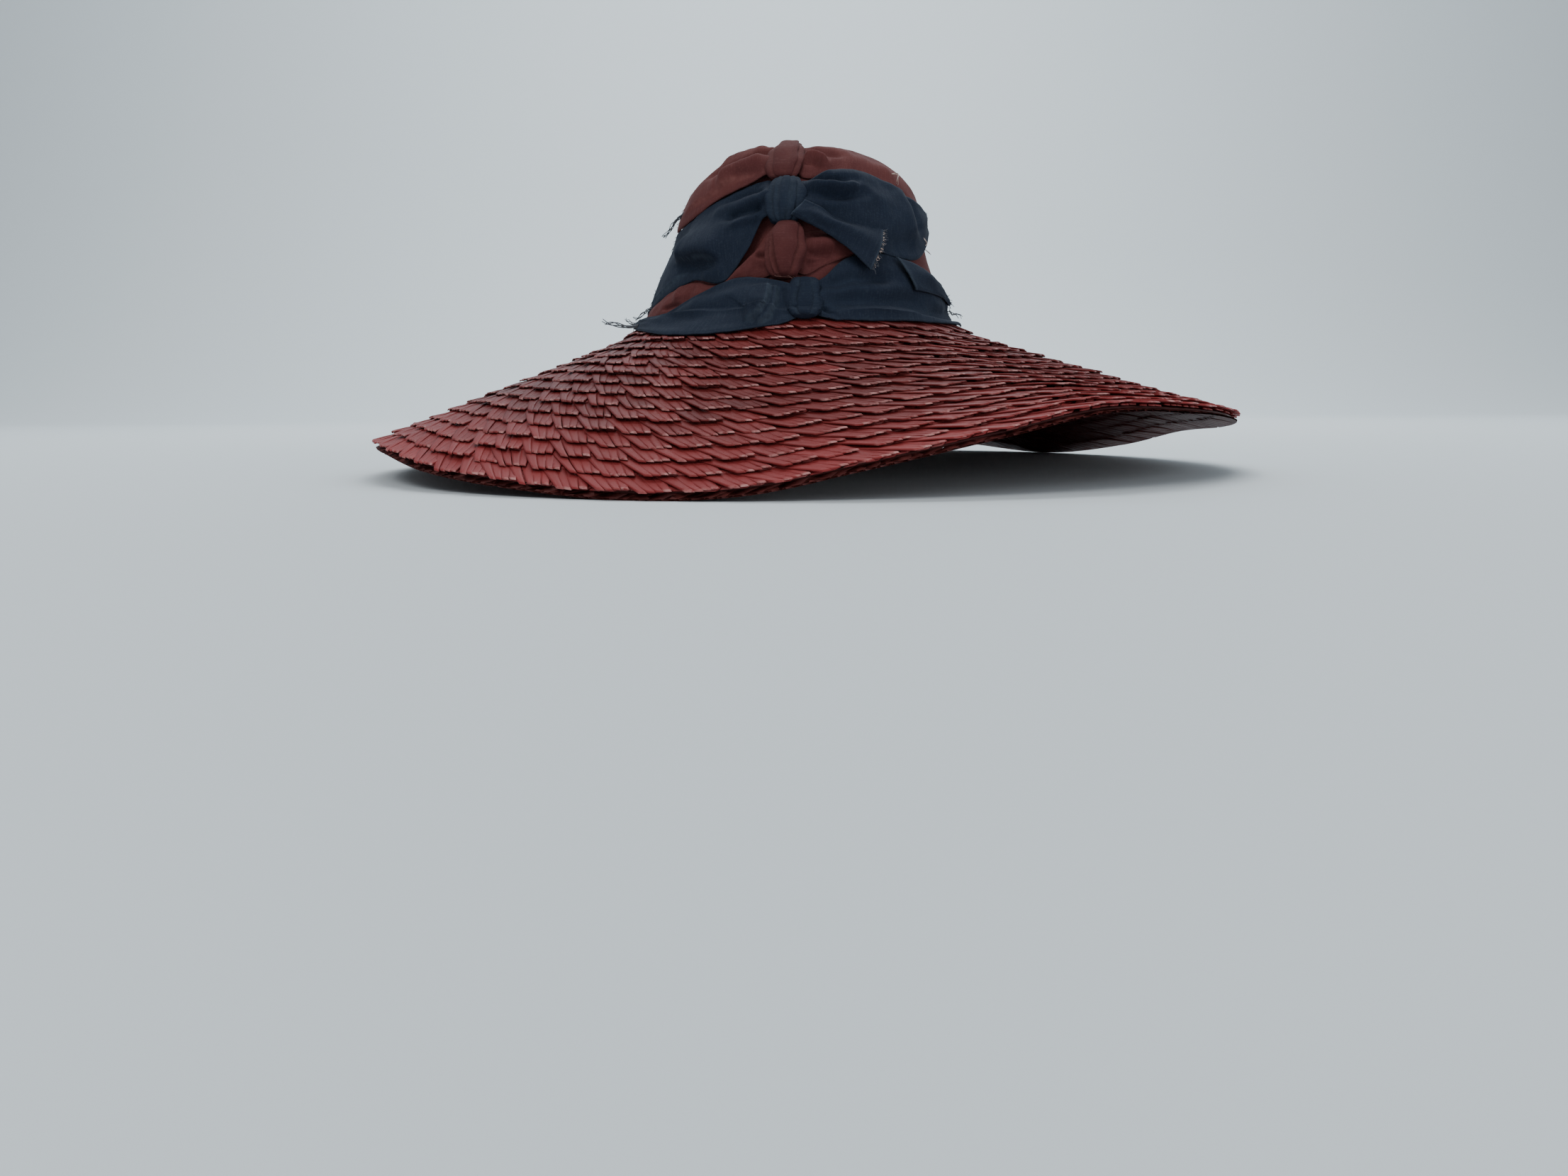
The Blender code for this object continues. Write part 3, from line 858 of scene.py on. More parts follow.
    def strips(self, teeth: dict[str, np.ndarray], rng: np.random.Generator, top: bool,
               facing: int) -> Strips:
        """Strips of straw, one for each strand of each tooth. In the brim's own plane, with u along the row
        and v outwards from its edge, an upper strip's point is u = u_end + t w / 2 + s cos(lean) and v =
        v_end + s sin(lean), with s from the strip's root (below 0) to its fold (0), t from -1 to 1 across it
        and w = width (1 - widening s). A straw that comes back runs the other way along u. The lean grows
        from a tooth's first strand to its last, which leaves an open notch before the next tooth.

        The height is low + (high - low) share^curl with share = 1 + v / reach, so a row curls up towards its
        edge. The upper straws add (shingle (1 - k / (strands - 1)) + flank on the first) 4 share (1.05 -
        share), so each lies over the next, and twist k share^6. Then come a soft bump before the fold and the
        roll over the fold, thickness roll (1 - sqrt(1 - nose^2)).

        Args:
            teeth: The teeth's table.
            rng: The seeded source of the random numbers.
            top: Whether these are the upper straws, which lie over the ones that come back from the folds.
            facing: 1 for the brim's upper side, -1 for its under side, where the teeth point to the crown.

        Returns:
            Points, faces, UV and the numbers for each point.
        """
        count, each = len(teeth["angle"]), self.strands if top else self.strands - 1
        tooth = {key: value[:, None, None, None] for key, value in teeth.items()}
        k = np.arange(each)[None, :, None, None]
        shares, reach = (self.top_shares, 1.0) if top else (self.return_shares, self.return_reach)
        back = np.array(shares) * self.reach_in * reach / math.sin(math.radians(self.lean))
        s = -back[None, None, :, None]
        t = np.array(self.section_across)[None, None, None, :]
        h = np.array(self.section_height)[None, None, None, :]
        shape = (count, each, s.size, t.size)

        def own(spread: float) -> np.ndarray:
            """Random differences of each strand."""
            return rng.normal(0, spread, (count, each, 1, 1))

        opened = self.fan * k if top else self.return_turn
        lean = np.radians(self.lean + opened + tooth["turn"] + own(self.own_lean))
        width = self.strand_width * (1 + own(self.own_width)) * (1 - self.widening * s)
        own_along, own_out = own(self.own_along), own(self.own_out)
        v_end = -self.end_rise * k + own_out
        if top:
            u_end = self.strand_step * (k + self.strand_start) + tooth["slide"] + own_along
        else:
            width = width * self.return_width
            u_end = self.pitch * (k + self.return_start) / each + tooth["slide"] + own(self.own_return)
            v_end = v_end - self.under_step
        u = u_end + t * width / 2 + s * np.cos(lean) * (1 if top else -1)
        v = v_end + s * np.sin(lean)
        share = np.clip(1 + v / self.reach_in, 0, self.past_edge)
        lift = self.low_lift + (self.high_lift - self.low_lift) * share**self.curl + tooth["raise"] * share
        if top:
            over_next = self.shingle * (1 - k / (self.strands - 1)) + self.flank * (k == 0)
            over_next = over_next * 4 * share * (self.past_edge - share)
            lift = lift + (over_next + self.twist * k * share**self.twist_power)
        else:
            lift = lift - self.under_drop * share
        if facing < 0:
            lift = lift * self.under_side
        lift = lift + own(self.own_lift) * share - self.tilt * t * share
        nose = np.clip(1 + s / self.roll_length, 0, 1)
        # How pale each strand's fold end is: partly wear and partly a painted highlight.
        wear_and_highlight_mask = np.clip(self.wear_and_highlight + self.wear_and_highlight_step * k + own(self.own_wear_and_highlight), 0, 1)
        roll = self.roll_share * (1 - np.sqrt(np.clip(1 - nose**2, 0, 1)))
        bump = self.bump * bell(s + self.bump_back, self.bump_width)
        upper = self.crown * (h - 1) + bump - self.thickness * roll
        numbers = {
            # The pale fold ends are partly wear and partly a painted highlight; the third number is painted
            # light, brighter outwards and darker under the row above.
            "tone": np.clip(0.5 + (tooth["tone"] - 0.5) * self.tooth_tone + own(self.own_tone), 0, 1),
            "wear_and_highlight": nose**self.wear_and_highlight_power * wear_and_highlight_mask * (1.0 if top else self.return_wear_and_highlight),
            "painted_light": np.clip(tooth["edge"] - self.painted_light_fall * (1 - share), 0, 1),
        }
        u, v, height = np.broadcast_arrays(u, v, lift + np.where(h > -0.5, upper, -self.thickness))
        place = np.maximum(tooth["edge"] + v / self.slope_length, 0)
        if facing < 0:
            place = self.under_place(tooth["edge"], v)
        angle = tooth["angle"] + u * tooth["degrees"] * facing
        points = FORM.over_brim(angle, place, facing * (FORM.plait_body / 2 + height))
        across = t * width / 2 + k * self.map_step + tooth["tone"]
        uv = np.stack(np.broadcast_arrays(across, np.abs(s) + tooth["tone"] * self.map_shift), -1)
        cells, size = grid_quads(s.size, t.size, closed=True), s.size * t.size
        caps = size - t.size + np.array([[0, 1, 2, 5], [2, 3, 4, 5]])
        cells = np.concatenate([cells, caps])[:, ::facing]
        numbers = {key: np.broadcast_to(value, shape) for key, value in numbers.items()}
        return points, repeat_quads(cells, size, count * each), uv, numbers

    def under_place(self, edge: np.ndarray, v: np.ndarray) -> np.ndarray:
        """Places of the under side's straws: there a row's teeth point to the crown from its inner edge."""
        inner = edge - self.under_back / self.rows
        return np.clip(inner - v / self.slope_length, self.under_margin, edge - self.under_margin)

    def build(self) -> list[bpy.types.Object]:
        """Makes the rows of plait, the under side and the foundation with its collar.

        Returns:
            The pieces.
        """
        rng = np.random.default_rng(41)
        pieces = [self.foundation()]
        for name, first, last in self.groups:
            teeth = self.row_tables(first, last, rng)
            made = [self.strips(teeth, rng, top, 1) for top in (True, False)]
            pieces.append(self.plait(name, made, Finish.STRAW))
        teeth = self.row_tables(0, self.rows, rng)
        # The under side takes the darker straw copy, a painted shade.
        pieces.append(self.plait("plait_underside", [self.strips(teeth, rng, False, -1)], Finish.STRAW_UNDER_PAINTED_SHADE))
        return pieces

    @staticmethod
    def plait(name: str, made: list[Strips], finish: Finish) -> bpy.types.Object:
        """One piece out of several sets of strips.

        Args:
            name: The piece's name.
            made: Points, faces, UV and numbers of each set.
            finish: The piece's finish.

        Returns:
            The object.
        """
        points, quads = merge([strips[:2] for strips in made])
        uv = np.concatenate([strips[2].reshape(-1, 2) for strips in made])
        numbers = {key: np.concatenate([strips[3][key].ravel() for strips in made]) for key in made[0][3]}
        return add_piece(name, points, quads, finish, uv=uv, numbers=numbers)

    def foundation(self) -> bpy.types.Object:
        """The closed layer between the upper and the under straws, with the collar inside the crown: a
        profile of places and lifts carried round the hat.

        Returns:
            The object.
        """
        angle, flat = np.arange(self.around) * 360.0 / self.around, np.ones(self.around)
        outs = np.linspace(0.0, 1 - self.foundation_short / self.slope_length, self.foundation_rings)
        collar = np.linspace(self.collar_height, 0.0, self.collar_rings)
        rings = [FORM.crown_point(angle, up * flat, self.collar_inset) for up in collar]
        rings += [FORM.over_brim(angle, out * flat, self.foundation_over * flat) for out in outs[1:]]
        rings += [FORM.over_brim(angle, out * flat, -self.foundation_under * flat) for out in outs[:1:-1]]
        for up in collar[::-1]:
            drop = self.collar_drop * (1 - up / self.collar_height)
            inner = FORM.crown_point(angle, up * flat, self.collar_inset + self.collar_wall)
            rings.append(inner - [0, 0, drop])
        count = len(rings)
        first = np.arange(self.around)
        final = (count - 1) * self.around + first
        quads = grid_quads(count, self.around, closed=True)
        quads = np.concatenate([quads, np.stack([final, np.roll(final, -1), np.roll(first, -1), first], -1)])
        rise = np.arange(count)[:, None] * self.foundation_map[0]
        uv = np.stack(np.broadcast_arrays(rise, np.radians(angle)[None, :] * self.foundation_map[1]), -1)
        none = np.zeros((count, self.around))
        numbers = {"tone": none + self.foundation_tone, "wear_and_highlight": none, "painted_light": none}
        points = np.stack(rings)
        return add_piece("straw_foundation", points, quads[:, ::-1], Finish.STRAW_UNDER_PAINTED_SHADE, ("brim",), uv,
                         numbers)


class Stroke(Enum):
    """What a stroke over the cloth does to its height."""

    RIDGE = "ridge"
    LEDGE = "ledge"


@dataclass(frozen=True)
class Fold:
    """A stroke over a wing of crepe, through points that are each (angle, place) on the hat. A ridge with a
    negative height is a crease. A ledge is high on the left of the stroke's way and falls off sharply at
    it, and its rim gets a painted highlight."""

    points: Rows
    width: float
    height: float
    kind: Stroke = Stroke.RIDGE
    spread: float = 0.016
    taper: float = 0.22
    highlight_rim: float = 0.0011
    ends: float = 0.25
    per_degree: float = 0.0014
    per_place: float = 0.130

    def rise(self, angle: np.ndarray, place: np.ndarray) -> tuple[np.ndarray, np.ndarray]:
        """Height of the stroke, and how near its rim is, where a painted highlight goes. With d the distance
        to the stroke on the unrolled hat, a ridge is height e^(-(d / width)^2), and a ledge is height
        (1 + tanh(d / width)) / 2 e^(-(d / spread)^2) with d below zero on its right. Both fade towards the
        ends of the stroke, a ledge to nothing and a ridge to the share ends.

        Args:
            angle: Degrees round the hat.
            place: Places up the crown.

        Returns:
            Heights in metres, and numbers from 0 to 1 that are high along the rim of a ledge.
        """
        scale = np.array([self.per_degree, self.per_place])
        line = np.array(self.points, float) * scale
        x, y = angle * scale[0], place * scale[1]
        lengths = np.linalg.norm(np.diff(line, axis=0), axis=1)
        best = np.full(x.shape, np.inf)
        side, run = np.zeros(x.shape), np.zeros(x.shape)
        for start, end, length, before in zip(line[:-1], line[1:], lengths, np.cumsum(lengths) - lengths):
            way = end - start
            q = np.clip(((x - start[0]) * way[0] + (y - start[1]) * way[1]) / length**2, 0, 1)
            dx, dy = x - start[0] - q * way[0], y - start[1] - q * way[1]
            gap = np.hypot(dx, dy)
            near = gap < best
            best = np.where(near, gap, best)
            side = np.where(near, np.sign(way[0] * dy - way[1] * dx), side)
            run = np.where(near, before + q * length, run)
        share = run / lengths.sum()
        fade = step(0, self.taper, share) * step(1, 1 - self.taper, share)
        if self.kind is Stroke.RIDGE:
            fade = self.ends + (1 - self.ends) * fade
            return self.height * fade * bell(best, self.width), 0 * best
        high = 0.5 + 0.5 * np.tanh(side * best / self.width)
        return self.height * fade * high * bell(best, self.spread), fade * bell(best, self.highlight_rim)


WING_COLUMNS = ("low_angle", "low", "high_angle", "high", "puff")


@dataclass(frozen=True)
class Wing:
    """A wing of crepe that lies on the hat. Its rows run from the knot outwards: the angle and the place of
    its lower and its upper edge, and its puff. Below zero a place lies out on the brim. The pairs wave and
    crinkle are each a height and a wavelength, sway is a size and a rate, and edge_wear is a strength and a
    width."""

    node: str
    finish: Finish
    rows: Rows
    low_plies: float
    high_plies: float
    far_share: float
    pleats: float
    folds: tuple[Fold, ...] = ()
    size: Pair = (0.09, 0.03)
    cells: tuple[int, int] = (132, 56)
    free_start: bool = False
    sink: float = 0.0
    sink_along: Pair = (0.20, 0.60)
    sink_across: Pair = (0.30, 1.0)
    wall: float = 0.0008
    clear: float = 0.0002
    roll: float = 0.45
    roll_width: float = 0.0008
    ply: float = 0.0022
    puff_height: float = 0.0060
    pleat_height: float = 0.0018
    pleat_fade: float = 2.2
    sway: Pair = (0.12, 9.0)
    wave: Pair = (0.00065, 0.026)
    wave_rise: float = 0.2
    crinkle: Pair = (0.00020, 0.008)
    outer: float = 0.0015
    edge_wear: Pair = (0.25, 0.0009)
    end_wear: float = 0.0010
    rests_on: tuple[str, ...] = ("crown_crepe",)

    def surface(self, along: np.ndarray, across: np.ndarray,
                raised: float = 0.0) -> tuple[np.ndarray, np.ndarray]:
        """The cloth's outer face: a point over the hat whose lift is the plies beneath, the puff p sin^2(pi
        c), the pleats that fade from the knot as (1 - along)^2.2, low ripples, the folds, and a roll down to
        what lies beneath at both edges.

        Args:
            along: Shares outwards from the knot.
            across: Shares from the lower to the upper edge.
            raised: A further lift.

        Returns:
            Points, and numbers from 0 to 1 that are high along the rims of the plies, for their painted
            highlight.
        """
        stations = np.linspace(0, 1, len(self.rows))
        value = {key: smooth(stations, column(self.rows, WING_COLUMNS, key), along) for key in WING_COLUMNS}
        angle = value["low_angle"] + (value["high_angle"] - value["low_angle"]) * across
        place = value["low"] + (value["high"] - value["low"]) * across
        plies = self.low_plies + (self.high_plies - self.low_plies) * across
        crest = np.sin(np.pi * np.clip(across, 0, 1)) ** 2
        lift = self.outer + self.ply * (plies * (1 - (1 - self.far_share) * along))
        lift = lift + self.puff_height * value["puff"] * crest
        fan = np.cos(2 * np.pi * (self.pleats * across + self.sway[0] * np.sin(self.sway[1] * along)))
        lift = lift + self.pleat_height * (0.5 - 0.5 * fan) * crest * (1 - along) ** self.pleat_fade
        rng = np.random.default_rng(name_seed(self.node))
        out, up = along * self.size[0], across * self.size[1]
        lift = lift + self.wave[0] * ripples(rng, out, up, self.wave[1]) * step(0, self.wave_rise, crest)
        lift = lift + self.crinkle[0] * ripples(rng, out, up, self.crinkle[1])
        rim_highlights = np.zeros(lift.shape)
        for fold in self.folds:
            rise, highlight_rim = fold.rise(angle, place)
            lift, rim_highlights = lift + rise, np.maximum(rim_highlights, highlight_rim)
        lift = lift - self.sink * step(*self.sink_along, along) * step(*self.sink_across, across)
        lift = np.maximum(lift, self.wall + self.clear)
        near = np.minimum(across, 1 - across) * self.size[1]
        lift = lift - self.roll * self.outer * bell(near, self.roll_width)
        return FORM.over_hat(angle, place, lift + raised), rim_highlights

    def build(self) -> bpy.types.Object:
        """Makes the wing as a closed sheet.

        Returns:
            The object.
        """
        shares = [np.linspace(0, 1, cells + 1) for cells in self.cells]
        along, across = np.meshgrid(*shares, indexing="ij")
        points, rim_highlights = self.surface(along, across)
        quads = grid_quads(*along.shape)[:, ::-1 if self.turned else 1]
        uv = np.stack([across * self.size[1], along * self.size[0]], -1)
        long_edge = np.minimum(across, 1 - across) * self.size[1]
        cut_end = (np.minimum(along, 1 - along) if self.free_start else 1 - along) * self.size[0]
        # Worn long edges and cut end, plus the painted highlight along ledge rims.
        pale_mark = np.maximum(self.edge_wear[0] * bell(long_edge, self.edge_wear[1]),
                          bell(cut_end, self.end_wear))
        numbers = {"edge": np.maximum(pale_mark, rim_highlights)}
        piece = add_piece(f"{self.node}_crepe", points, quads, self.finish, (self.node,), uv, numbers)
        add_wall(piece, self.wall)
        return piece

    @property
    def turned(self) -> bool:
        """Whether the rows run towards +X."""
        return self.rows[-1][0] > self.rows[0][0]


@dataclass(frozen=True)
class Crease:
    """A groove along a knot, at a turn round its section (0 at its +X side, 90 on top) at its low and high
    end."""

    low_turn: float
    high_turn: float
    width: float
    depth: float

    def groove(self, turn: np.ndarray, share: np.ndarray) -> np.ndarray:
        """The groove's depth: depth e^(-(off / width)^2), with off the turn away from its middle.

        Args:
            turn: Turns round the knot's section, in radians.
            share: Shares up the knot.

        Returns:
            Depths.
        """
        middle = np.radians(self.low_turn + (self.high_turn - self.low_turn) * share)
        off = np.abs((turn - middle + np.pi) % (2 * np.pi) - np.pi)
        return self.depth * bell(off, np.radians(self.width))


@dataclass(frozen=True)
class Knot:
    """The wrap in the middle of a bow: a flattened tube up the crown's front. The pair uneven is a height and
    a wavelength, rib_sway is a size and a rate, and cloth_map is the metres of map for each radian and up the
    whole knot."""

    node: str
    finish: Finish
    angle: float
    half: float
    low: float
    high: float
    height: float
    creases: tuple[Crease, ...] = ()
    ribs: int = 0
    cells: tuple[int, int] = (96, 72)
    end: float = 0.50
    corner: float = 0.78
    cap: float = 0.6
    thick: float = 0.0095
    clear: float = 0.0006
    section: float = 0.005
    length: float = 0.025
    uneven: Pair = (0.00034, 0.008)
    rib_height: float = 0.00016
    rib_sway: Pair = (0.6, 3.0)
    cloth_map: Pair = (0.006, 0.03)
    worn_depth: float = 0.002
    worn_most: float = 0.4

    def build(self) -> bpy.types.Object:
        """Makes the knot: angle = middle + half b |cos t|^corner, lift = h b (1 + sin t) / 2, with b the
        bulge end + (1 - end) sqrt(sin(pi share)). It is uneven by ripples and by ribs across it, less the
        grooves, and closed at both ends.

        Returns:
            The object.
        """
        turn = (np.arange(self.cells[0]) * 2 * np.pi / self.cells[0])[None, :]
        share = np.concatenate([[0.0, 0.0], np.linspace(0, 1, self.cells[1] + 1), [1.0, 1.0]])[:, None]
        inside = np.concatenate([[0.0, self.cap], np.ones(self.cells[1] + 1), [self.cap, 0.0]])[:, None]
        bulge = self.end + (1 - self.end) * np.sin(np.pi * share) ** 0.5
        groove = np.zeros((share.size, turn.size))
        for crease in self.creases:
            groove += crease.groove(turn, share)
        rng = np.random.default_rng(name_seed(self.node))
        uneven = self.uneven[0] * ripples(rng, turn * self.section, share * self.length, self.uneven[1])
        sway = self.rib_sway[0] * np.sin(self.rib_sway[1] * turn)
        uneven = uneven + self.rib_height * np.sin(2 * np.pi * self.ribs * share + sway)
        squash = inside * (1 + (uneven - groove) / (self.thick * self.height * 0.5))
        wide = np.sign(np.cos(turn)) * np.abs(np.cos(turn)) ** self.corner
        angle = self.angle + self.half * bulge * squash * wide
        half = self.thick * self.height * bulge / 2
        lift = self.clear + half * (1 + np.sin(turn) * squash)
        place = self.low + (self.high - self.low) * share + 0 * angle
        points = FORM.over_hat(angle, place, lift)
        uv = np.stack(np.broadcast_arrays(turn * self.cloth_map[0], share * self.cloth_map[1]), -1)
        numbers = {"edge": np.clip(groove / self.worn_depth, 0, self.worn_most)}
        quads = grid_quads(share.size, turn.size, closed=True)
        piece = add_piece(f"{self.node}_crepe", points, quads, self.finish, (self.node,), uv, numbers)
        return piece


@dataclass(frozen=True)
class CrownCloth:
    """The crown's crepe cover: a dome with faint drawn folds and a wall on its inner side. The pair ripple is
    a height and a wavelength."""

    cells: tuple[int, int] = (260, 90)
    wall: float = 0.0013
    foot: float = 0.0126
    top: float = 0.9995
    crowding: float = 1.25
    fade: Pair = (0.98, 0.80)
    facing_range: Pair = (0.021, 0.978)
    fold_height: float = 0.00035
    fold_count: int = 7
    fold_slant: int = 3
    ripple: Pair = (0.00025, 0.02)
    sunk: float = 0.0003
    radius: float = 0.08
    face_length: float = 0.13
    edge_width: float = 0.0012

    def build(self) -> bpy.types.Object:
        """Makes the dome: the crown's face, raised by drawn folds a sin(k angle + m along) and small ripples.
        Its rings lie closer together towards the top, as 1 - (1 - share)^1.25.

        Returns:
            The object.
        """
        rng = np.random.default_rng(7)
        turns = np.arange(self.cells[0]) * 360.0 / self.cells[0]
        share = np.linspace(0, 1, self.cells[1] + 1)
        share = self.foot + (self.top - self.foot) * (1 - (1 - share) ** self.crowding)
        angle, along = np.meshgrid(turns, share)
        turn = np.radians(angle)
        fade = step(*self.fade, along)
        lift = self.fold_height * np.sin(self.fold_count * turn + self.fold_slant * along) * fade
        around, up = np.sin(turn) * self.radius, along * self.face_length
        uneven = ripples(rng, around, up + self.radius * np.cos(turn), self.ripple[1])
        lift = lift + self.ripple[0] * uneven * fade
        lift = lift - self.sunk * fade
        out = FORM.normals(FORM.crown_point, angle, np.clip(along, *self.facing_range))
        points = FORM.crown_point(angle, along) + out * lift[..., None]
        quads = grid_quads(*along.shape, closed=True)
        uv = np.stack([turn * self.radius, up], -1)
        numbers = {"edge": bell((along - self.foot) * self.face_length, self.edge_width)}
        piece = add_piece("crown_crepe", points, quads, Finish.RUST, ("crown",), uv, numbers)
        add_wall(piece, self.wall)
        return piece


def tubes(paths: np.ndarray, radius: float, sides: int = 5) -> tuple[np.ndarray, np.ndarray]:
    """Thin tubes along paths: rings of radius r (cos a n + sin a b) about each point, with n and b across the
    path.

    Args:
        paths: Points of each path, as (path, point, 3).
        radius: The tubes' radius at the root. The tip is thinner.
        sides: Points in a ring.

    Returns:
        Points and faces.
    """
    aside, tip = np.array([0.31, 0.22, 0.92]), 0.55
    count, steps = paths.shape[:2]
    way = unit(np.gradient(paths, axis=1))
    side = unit(np.cross(way, aside))
    other = np.cross(side, way)
    turn = np.arange(sides) * 2 * np.pi / sides
    thin = radius * np.linspace(1.0, tip, steps)[None, :, None, None]
    ring = side[:, :, None] * np.cos(turn)[:, None] + other[:, :, None] * np.sin(turn)[:, None]
    cells = grid_quads(steps, sides, closed=True)
    return paths[:, :, None] + ring * thin, repeat_quads(cells, steps * sides, count)


@dataclass
class Threads:
    """Frayed cut ends and loose threads. The pair rise is a mean and a spread, and the other pairs are a
    lowest and a highest value."""

    wings: dict[str, Wing]
    radius: float = 0.00020
    steps: int = 7
    strand_steps: int = 22
    root: float = 0.985
    root_before: float = 0.92
    root_beside: float = 0.02
    root_lift: float = -0.0004
    length_range: Pair = (0.45, 1.35)
    bend: float = 0.35
    slant: float = 0.12
    rise: Pair = (0.05, 0.18)
    turns: Pair = (5.0, 9.0)
    spread_range: Pair = (0.8, 2.2)
    opening: float = 1.5
    groups: dict[Finish, list[tuple[np.ndarray, np.ndarray]]] = field(default_factory=dict)

    def fringe(self, finish: Finish, wing: str, low: float, high: float, count: int, length: float,
               seed: int) -> None:
        """Short threads that stand out of a wing's cut end: each starts at the end and runs on in the cloth's
        direction, bent a little sideways and up.

        Args:
            finish: The threads' finish.
            wing: The wing's node.
            low: Where the fringe starts, from the lower to the upper edge.
            high: Where it ends.
            count: How many threads.
            length: Their mean length.
            seed: The seed of their differences.
        """
        rng = np.random.default_rng(seed)
        cloth = self.wings[wing]
        across = np.sort(rng.uniform(low, high, count))
        root, _ = cloth.surface(np.full(count, self.root), across, self.root_lift)
        before, _ = cloth.surface(np.full(count, self.root_before), across, self.root_lift)
        beside, _ = cloth.surface(np.full(count, self.root), across + self.root_beside, self.root_lift)
        way, side = unit(root - before), unit(beside - root)
        up = unit(np.cross(way, side)) * (1 if cloth.turned else -1)
        run = (length * rng.uniform(*self.length_range, count))[:, None, None]
        t = np.linspace(0, 1, self.steps)[None, :, None]
        bend = rng.normal(0, self.bend, (count, 1, 1)) * t**2
        bend = bend + rng.normal(0, self.slant, (count, 1, 1)) * t
        rise = rng.normal(*self.rise, (count, 1, 1)) * t**2
        paths = root[:, None] + run * (way[:, None] * t + side[:, None] * bend + up[:, None] * rise)
        self.groups.setdefault(finish, []).append(tubes(paths, self.radius))

    def strand(self, finish: Finish, points: Rows, radius: float, count: int, seed: int) -> None:
        """A loose strand of a few twisted threads along points that are each (angle, place, lift).

        Args:
            finish: The threads' finish.
            points: Where the strand runs.
            radius: Each thread's radius.
            count: How many threads are twisted together.
            seed: The seed of their differences.
        """
        rng, aside = np.random.default_rng(seed), np.array([0.2, 0.9, 0.3])
        rows = np.array(points, float)
        knots, fine = np.linspace(0, 1, len(rows)), np.linspace(0, 1, self.strand_steps)
        angle, place, lift = (smooth(knots, rows[:, i], fine) for i in range(3))
        spine = FORM.over_hat(angle, place, lift)
        way = unit(np.gradient(spine, axis=0))
        side = unit(np.cross(way, aside))
        other = np.cross(way, side)
        phase = rng.uniform(0, 2 * math.pi, count)[:, None, None]
        turn = phase + fine[None, :, None] * rng.uniform(*self.turns, (count, 1, 1))
        spread = radius * rng.uniform(*self.spread_range, (count, 1, 1))
        spread = spread * (1 + self.opening * fine[None, :, None] ** 2)
        paths = spine[None] + spread * (np.cos(turn) * side[None] + np.sin(turn) * other[None])
        self.groups.setdefault(finish, []).append(tubes(paths, radius))

    def build(self) -> list[bpy.types.Object]:
        """Makes one piece of threads for each finish."""
        return [add_piece(finish.value.name + "s", *merge(made), finish)
                for finish, made in self.groups.items()]


RIDGE, LEDGE = Stroke.RIDGE, Stroke.LEDGE

